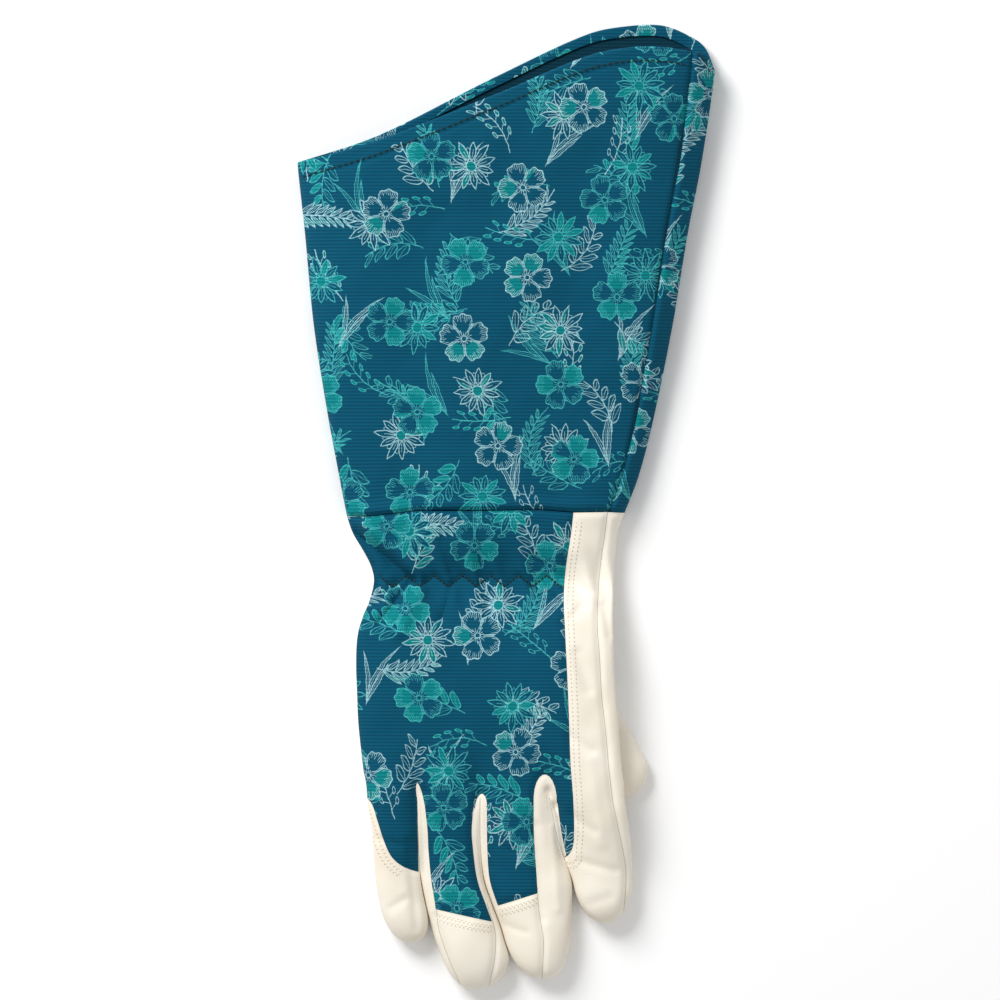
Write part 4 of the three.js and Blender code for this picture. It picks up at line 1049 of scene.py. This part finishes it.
def cloth_material():
    """Ribbed cloth. The attribute flat gives each point's place on the flat cloth in mm, and 1 on its
    printed face or 0 on its back."""
    material, shader = new_material("printed ribbed cloth")
    flat = put("Attribute", output=1, attribute_name="flat")
    place = put("SeparateXYZ", flat).socket.node
    x, y, face = (Sum(output) for output in place.outputs)
    wobble = put("TexNoise", flat, None, 0.35, 2, output=1)
    wobble = put("SeparateColor", wobble).socket.node
    x, y = [value + (Sum(wobble.outputs[k]) - 0.5) * WOBBLE for k, value in enumerate((x, y))]
    colour = PETROL
    for cell, seed, jitter, spread, turn, plant in LAYERS:
        c, s = math.cos(turn), math.sin(turn)
        u, v, chance = scattered(x * c + y * s, y * c - x * s, cell, seed, jitter, spread)
        lines, fills, hides = plant(u, v, chance)
        if hides:
            colour = painted(colour, PETROL, hides)
        if fills:
            colour = painted(colour, TEAL, fills * FILL_INK)
        tint = painted(MINT, AQUA, less(chance[2], PALE_SHARE))
        colour = painted(colour, tint, lines * LINE_INK)
    # On the back of the cloth the print gives way to its darker colour, which carries painted shade
    colour = painted(BACK_OF_CLOTH_WITH_PAINTED_SHADE, colour, less(0.5, face))
    ribs = put("TexWave", flat, 2 * math.pi / RIB_PITCH / 20, 0.2, 1, bands_direction="Y", output=1)
    # The ribs' crests are painted lighter and their grooves darker in the base colour: painted highlight
    # and shade, beside the bump that the ribs also drive
    shade = shaded(ribs, (0.74, 0.8, 0.82, 1), (1.36, 1.2, 1.17, 1))
    feed(shader, "Base Color", painted(colour, shade, 1, "MULTIPLY"))
    feed(shader, "Normal", put("Bump", 0.45, 0.25 * MM, None, ribs))
    feed(shader, "Specular IOR Level", 0.15)
    return material


leather, cloth = leather_material(), cloth_material()


FACING = 0.15  # how far a normal may lean to the other side before its point counts as the cloth's back
ON_FOLD = 0.02  # points this little below the side folds still count as the upper side, mm


def lay_flat(o, shift, unrolled):
    """Notes where each point of a panel lies on the flat cloth, and on which face of it."""
    mesh = o.data
    points = np.empty(len(mesh.vertices) * 3)
    mesh.vertices.foreach_get("co", points)
    x, y, z = points.reshape(-1, 3).T
    normals = np.empty(len(mesh.vertices) * 3)
    mesh.vertex_normals.foreach_get("vector", normals)
    up = normals.reshape(-1, 3)[:, 2]
    flat_x, on_top = unrolled(x, y, z)
    printed = np.where(on_top, up > -FACING, up < FACING).astype(float)
    if "printed" in mesh.attributes:
        mesh.attributes["printed"].data.foreach_get("value", printed)
        mesh.attributes.remove(mesh.attributes["printed"])
    flat = np.stack([flat_x + shift[0], y + shift[1], printed], -1)
    mesh.attributes.new("flat", "FLOAT_VECTOR", "POINT").data.foreach_set("vector", flat.ravel())


def cuff_unrolled(side):
    """Turns the cuff's under side up round one side fold, to lie beside the upper side."""
    def flat(x, y, z):
        mid, half = cuff_edges(y)
        on_top = z > mix(EDGE_HEIGHT, CUFF_EDGE_HEIGHT, np.clip(y / CUFF_LENGTH, 0, 1)) - ON_FOLD
        return np.where(on_top, x, 2 * (mid + side * half) - x), on_top
    return flat


# Each panel is cut from its own place on the cloth
lay_flat(panels["cuff_upper"], (0, 0), cuff_unrolled(-1))
lay_flat(panels["cuff_under"], (400, 90), cuff_unrolled(1))
lay_flat(panels["hand_back"], (-300, 60), lambda x, y, z: (x, z > 0))


# Stitches
def surface(names):
    """What rays from above meet on the named panels."""
    points, faces = [], []
    for name in names:
        first = len(points)
        points += [v.co.copy() for v in panels[name].data.vertices]
        faces += [[first + i for i in p.vertices] for p in panels[name].data.polygons]
    return BVHTree.FromPolygons(points, faces)


SKINS = {
    "printed_fabric": surface(CLOTH),
    "leather": surface([name for name in panels if name not in CLOTH + ("thumb",)])}
RAY_START = 60  # above all panels, mm


def height(skin, x, y):
    hit = skin.ray_cast(Vector((x, y, RAY_START)), Vector((0, 0, -1)))[0]
    return hit.z if hit else None


def arc(start, end, bow, count=20):
    """A line between two points that bows out to its left."""
    t = np.linspace(0, 1, count)[:, None]
    side = np.array([start[1] - end[1], end[0] - start[0]])
    return mix(start, end, t) + side * bow * 4 * t * (1 - t)


def spaced(line, pitch):
    """Points along a line at equal steps."""
    steps = np.hypot(*np.diff(line, axis=0).T)
    run = np.concatenate([[0], np.cumsum(steps)])
    at = np.arange(pitch / 2, run[-1], pitch)
    return np.stack([np.interp(at, run, line[:, 0]), np.interp(at, run, line[:, 1])], 1)


STITCH_SIDES, STITCH_RINGS = 6, 5
STEEPEST = 2  # a stitch whose end would drop further than this is left out, mm
# Shares of a thread's radius: how high it arches, how deep its ends lie, how thick they are, and how
# flat it is pressed
ARCH, SUNK, THIN, PRESSED = 0.9, 0.5, 0.35, 0.8


def direction(line, place):
    """Which way a line runs at the point of it that is nearest to a place."""
    near = np.argmin(np.hypot(*(line - place).T))
    near = min(max(near, 1), len(line) - 2)
    ahead = line[near + 1] - line[near - 1]
    return ahead / max(np.hypot(*ahead), SMALLEST)


def thread(skin, place, ahead, length, radius):
    """Points of one stitch in rings. Its ends dip into the cloth. None where it finds no ground."""
    ends = [place + ahead * length * k for k in (-0.5, 0.5)]
    low = [height(skin, *end) for end in ends]
    middle = height(skin, *place)
    if None in (middle, *low) or min(low) < middle - STEEPEST:
        return None
    middle = max(middle, (low[0] + low[1]) / 2)
    points = []
    for t in np.linspace(0, 1, STITCH_RINGS):
        x, y = mix(ends[0], ends[1], t)
        arch = 4 * t * (1 - t)
        z = mix(mix(low[0], low[1], t), middle, arch) + radius * (arch * ARCH - SUNK)
        thick = radius * (THIN + (1 - THIN) * math.sqrt(arch))
        for turn in np.arange(STITCH_SIDES) * 2 * math.pi / STITCH_SIDES:
            out, up = math.cos(turn) * thick, math.sin(turn) * thick * PRESSED
            points.append((x - ahead[1] * out, y + ahead[0] * out, z + up))
    return points


def stitches(name, lines, pitch, length, radius, material, slot):
    """Short threads along lines on the glove's upper side."""
    points, faces = [], []
    rings = numbered(STITCH_RINGS, STITCH_SIDES).tolist()
    sides = [(k, (k + 1) % STITCH_SIDES) for k in range(STITCH_SIDES)]
    tube = [(low[a], low[b], high[b], high[a]) for low, high in zip(rings, rings[1:]) for a, b in sides]
    tube += [tuple(rings[0][::-1]), tuple(rings[-1])]
    for line in lines:
        for place in spaced(line, pitch):
            made = thread(SKINS[slot], place, direction(line, place), length, radius)
            if made:
                faces += [tuple(len(points) + i for i in face) for face in tube]
                points += made
    mesh = bpy.data.meshes.new(name)
    mesh.from_pydata(np.array(points).tolist(), [], faces)
    o = bpy.data.objects.new(name, mesh)
    scene.collection.objects.link(o)
    mesh.materials.append(material)
    place_piece(o, name)
    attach(o, "root")


def bent(points):
    """Bends the parts near the hand seam to its curve."""
    moved = points.copy()
    moved[:, 1] += np.interp(points[:, 0], *SEAM_CURVE) * dip(points[:, 1], 1, SEAM_CURVE_FADE)
    return moved


SHARP_ANGLE = math.radians(38)


def place_piece(o, name):
    """Moves a body made in mm into the row's frame and names it."""
    points = np.empty(len(o.data.vertices) * 3)
    o.data.vertices.foreach_get("co", points)
    o.data.vertices.foreach_set("co", bent(points.reshape(-1, 3)).ravel())
    o.data.transform(Matrix.Scale(MM, 4) @ Matrix.Translation(SHIFT))
    o.name = o.data.name = name
    o.data.polygons.foreach_set("use_smooth", [True] * len(o.data.polygons))
    o.data.set_sharp_from_angle(angle=SHARP_ANGLE)


def across_cuff(over, low, high):
    """The hem's stitch line between two places across, where the rim reaches over by a length."""
    across = np.linspace(low, high, 60)
    over = over * sample(CUFF_MOUTH, "under", across)
    y = CUFF_LENGTH * sample(CUFF_MOUTH, "reach", across) + over - HEM_STITCHES
    mid, half = cuff_edges(y)
    return np.stack([mid + half * across, y], 1)


def beside_print(off):
    """Stitch lines on the leather along the print's strip and caps, off by a distance from it."""
    side = hand_line(PRINT_SIDE, off)
    finger = print_edge("indexRight", INDEX_PRINT_END, off)
    turn = np.linspace(0, -STRIP_TURN, 10)[:, None]
    around = spot(*STRIP_CENTRE) + np.hstack([np.cos(turn), np.sin(turn)]) * (off + STRIP_RADIUS)
    ring, middle = [
        arc(spot(left, cap[0]), spot(right, cap[1]), CAP_BOW) - (0, off)
        for left, right, cap in ((-0.19, 0.03, RING_CAP), (0.052, 0.203, MIDDLE_CAP))]
    little = offset(finger_line(LITTLE_CAP_EDGE, "x"), off)[4:-2]
    return [np.vstack([side[3:], finger[4:], around]), ring, middle, little]


HEM_STITCHES = 7  # from the rim, mm
# Where the double rows turn round the end of the print's strip, how far out, and how far round
STRIP_CENTRE, STRIP_RADIUS, STRIP_TURN = (0.328, INDEX_PRINT_END - 0.01), 1.2, math.pi * 0.62
CAP_BOW = -0.02  # how far the rows on the caps bow towards the tips, a share of their length
DOUBLE_ROWS, DOUBLE_PITCH, HOLE_SHIFT = (1.7, 3.8), 1.75, 0.87  # mm
SIDE_STITCHES = (1.5, 184)  # from the hand seam, mm
side_y = np.linspace(*SIDE_STITCHES, 80)
side_mid, side_half = cuff_edges(side_y)
cuff_side = np.stack([side_mid + side_half * CUFF_SEAM, side_y], 1)
hem = [across_cuff(0, -0.985, 0.865), across_cuff(UNDER_OVERHANG, 0.9, 0.975)]
double_rows = [line for off in DOUBLE_ROWS for line in beside_print(off)]
holes = [spaced(line, DOUBLE_PITCH) - (0, HOLE_SHIFT) for line in double_rows]

dark_thread = new_material("dark green thread", srgb(6, 42, 42))[0]
cream_thread = new_material("cream thread", srgb(226, 214, 192), 0.7)[0]
# The beads in the needle holes take a darker colour: painted shade of the holes
needle_hole_shade = new_material("painted needle hole shade", srgb(178, 158, 146), 0.7)[0]

# Pitch, length and radius are in mm
stitches("hem_stitches", hem, 2.6, 2.2, 0.36, dark_thread, "printed_fabric")
stitches("side_seam_stitches", [cuff_side], 3.4, 1.2, 0.2, dark_thread, "printed_fabric")
stitches("gather_stitches", [GATHER], 1.7, 1.6, 0.4, dark_thread, "printed_fabric")
stitches("double_stitches", double_rows, DOUBLE_PITCH, 1.3, 0.2, cream_thread, "leather")
# Needle holes: small beads coloured with painted shade
stitches("needle_holes", holes, DOUBLE_PITCH, 0.45, 0.24, needle_hole_shade, "leather")

for node, o in panels.items():
    o.data.materials.clear()
    o.data.materials.append(cloth if node in CLOTH else leather)
    place_piece(o, node + "_panel")
    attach(o, "root")
    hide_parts(node)
    "printed_fabric" if node in CLOTH else "leather"

# Stage
bpy.ops.mesh.primitive_plane_add(size=14)
floor = bpy.context.object
floor.name = "floor"
floor.data.materials.append(new_material("pale floor", (0.96, 0.96, 0.96, 1))[0])

world = bpy.data.worlds.new("studio")
world.use_nodes = True
background = world.node_tree.nodes["Background"].inputs
background["Color"].default_value, background["Strength"].default_value = (1, 1, 1, 1), 0.5
scene.world = world
# Where each light stands, its power in watts and its size in metres
for place, energy, size in (((-1.0, 1.25, 1.25), 41, 1.0), ((1.0, -0.5, 1.5), 4, 1.6)):
    light = bpy.data.lights.new("softbox", "AREA")
    light.energy, light.size = energy, size
    lamp = bpy.data.objects.new("softbox", light)
    lamp.location = place
    lamp.rotation_euler = Vector(place).to_track_quat("Z", "Y").to_euler()
    scene.collection.objects.link(lamp)

# The frame is 0.424 m wide at half the hand's height, seen from straight above
CAMERA_AT, SHARP_HEIGHT, FRAME_WIDTH, SENSOR = (-0.00267, 0.00283, 4.0), 0.008, 0.424, 36
camera = bpy.data.objects.new("camera", bpy.data.cameras.new("camera"))
camera.location = CAMERA_AT
camera.data.sensor_width = SENSOR
camera.data.lens = SENSOR * (CAMERA_AT[2] - SHARP_HEIGHT) / FRAME_WIDTH
scene.collection.objects.link(camera)
scene.camera = camera
scene.view_settings.view_transform = "Standard"
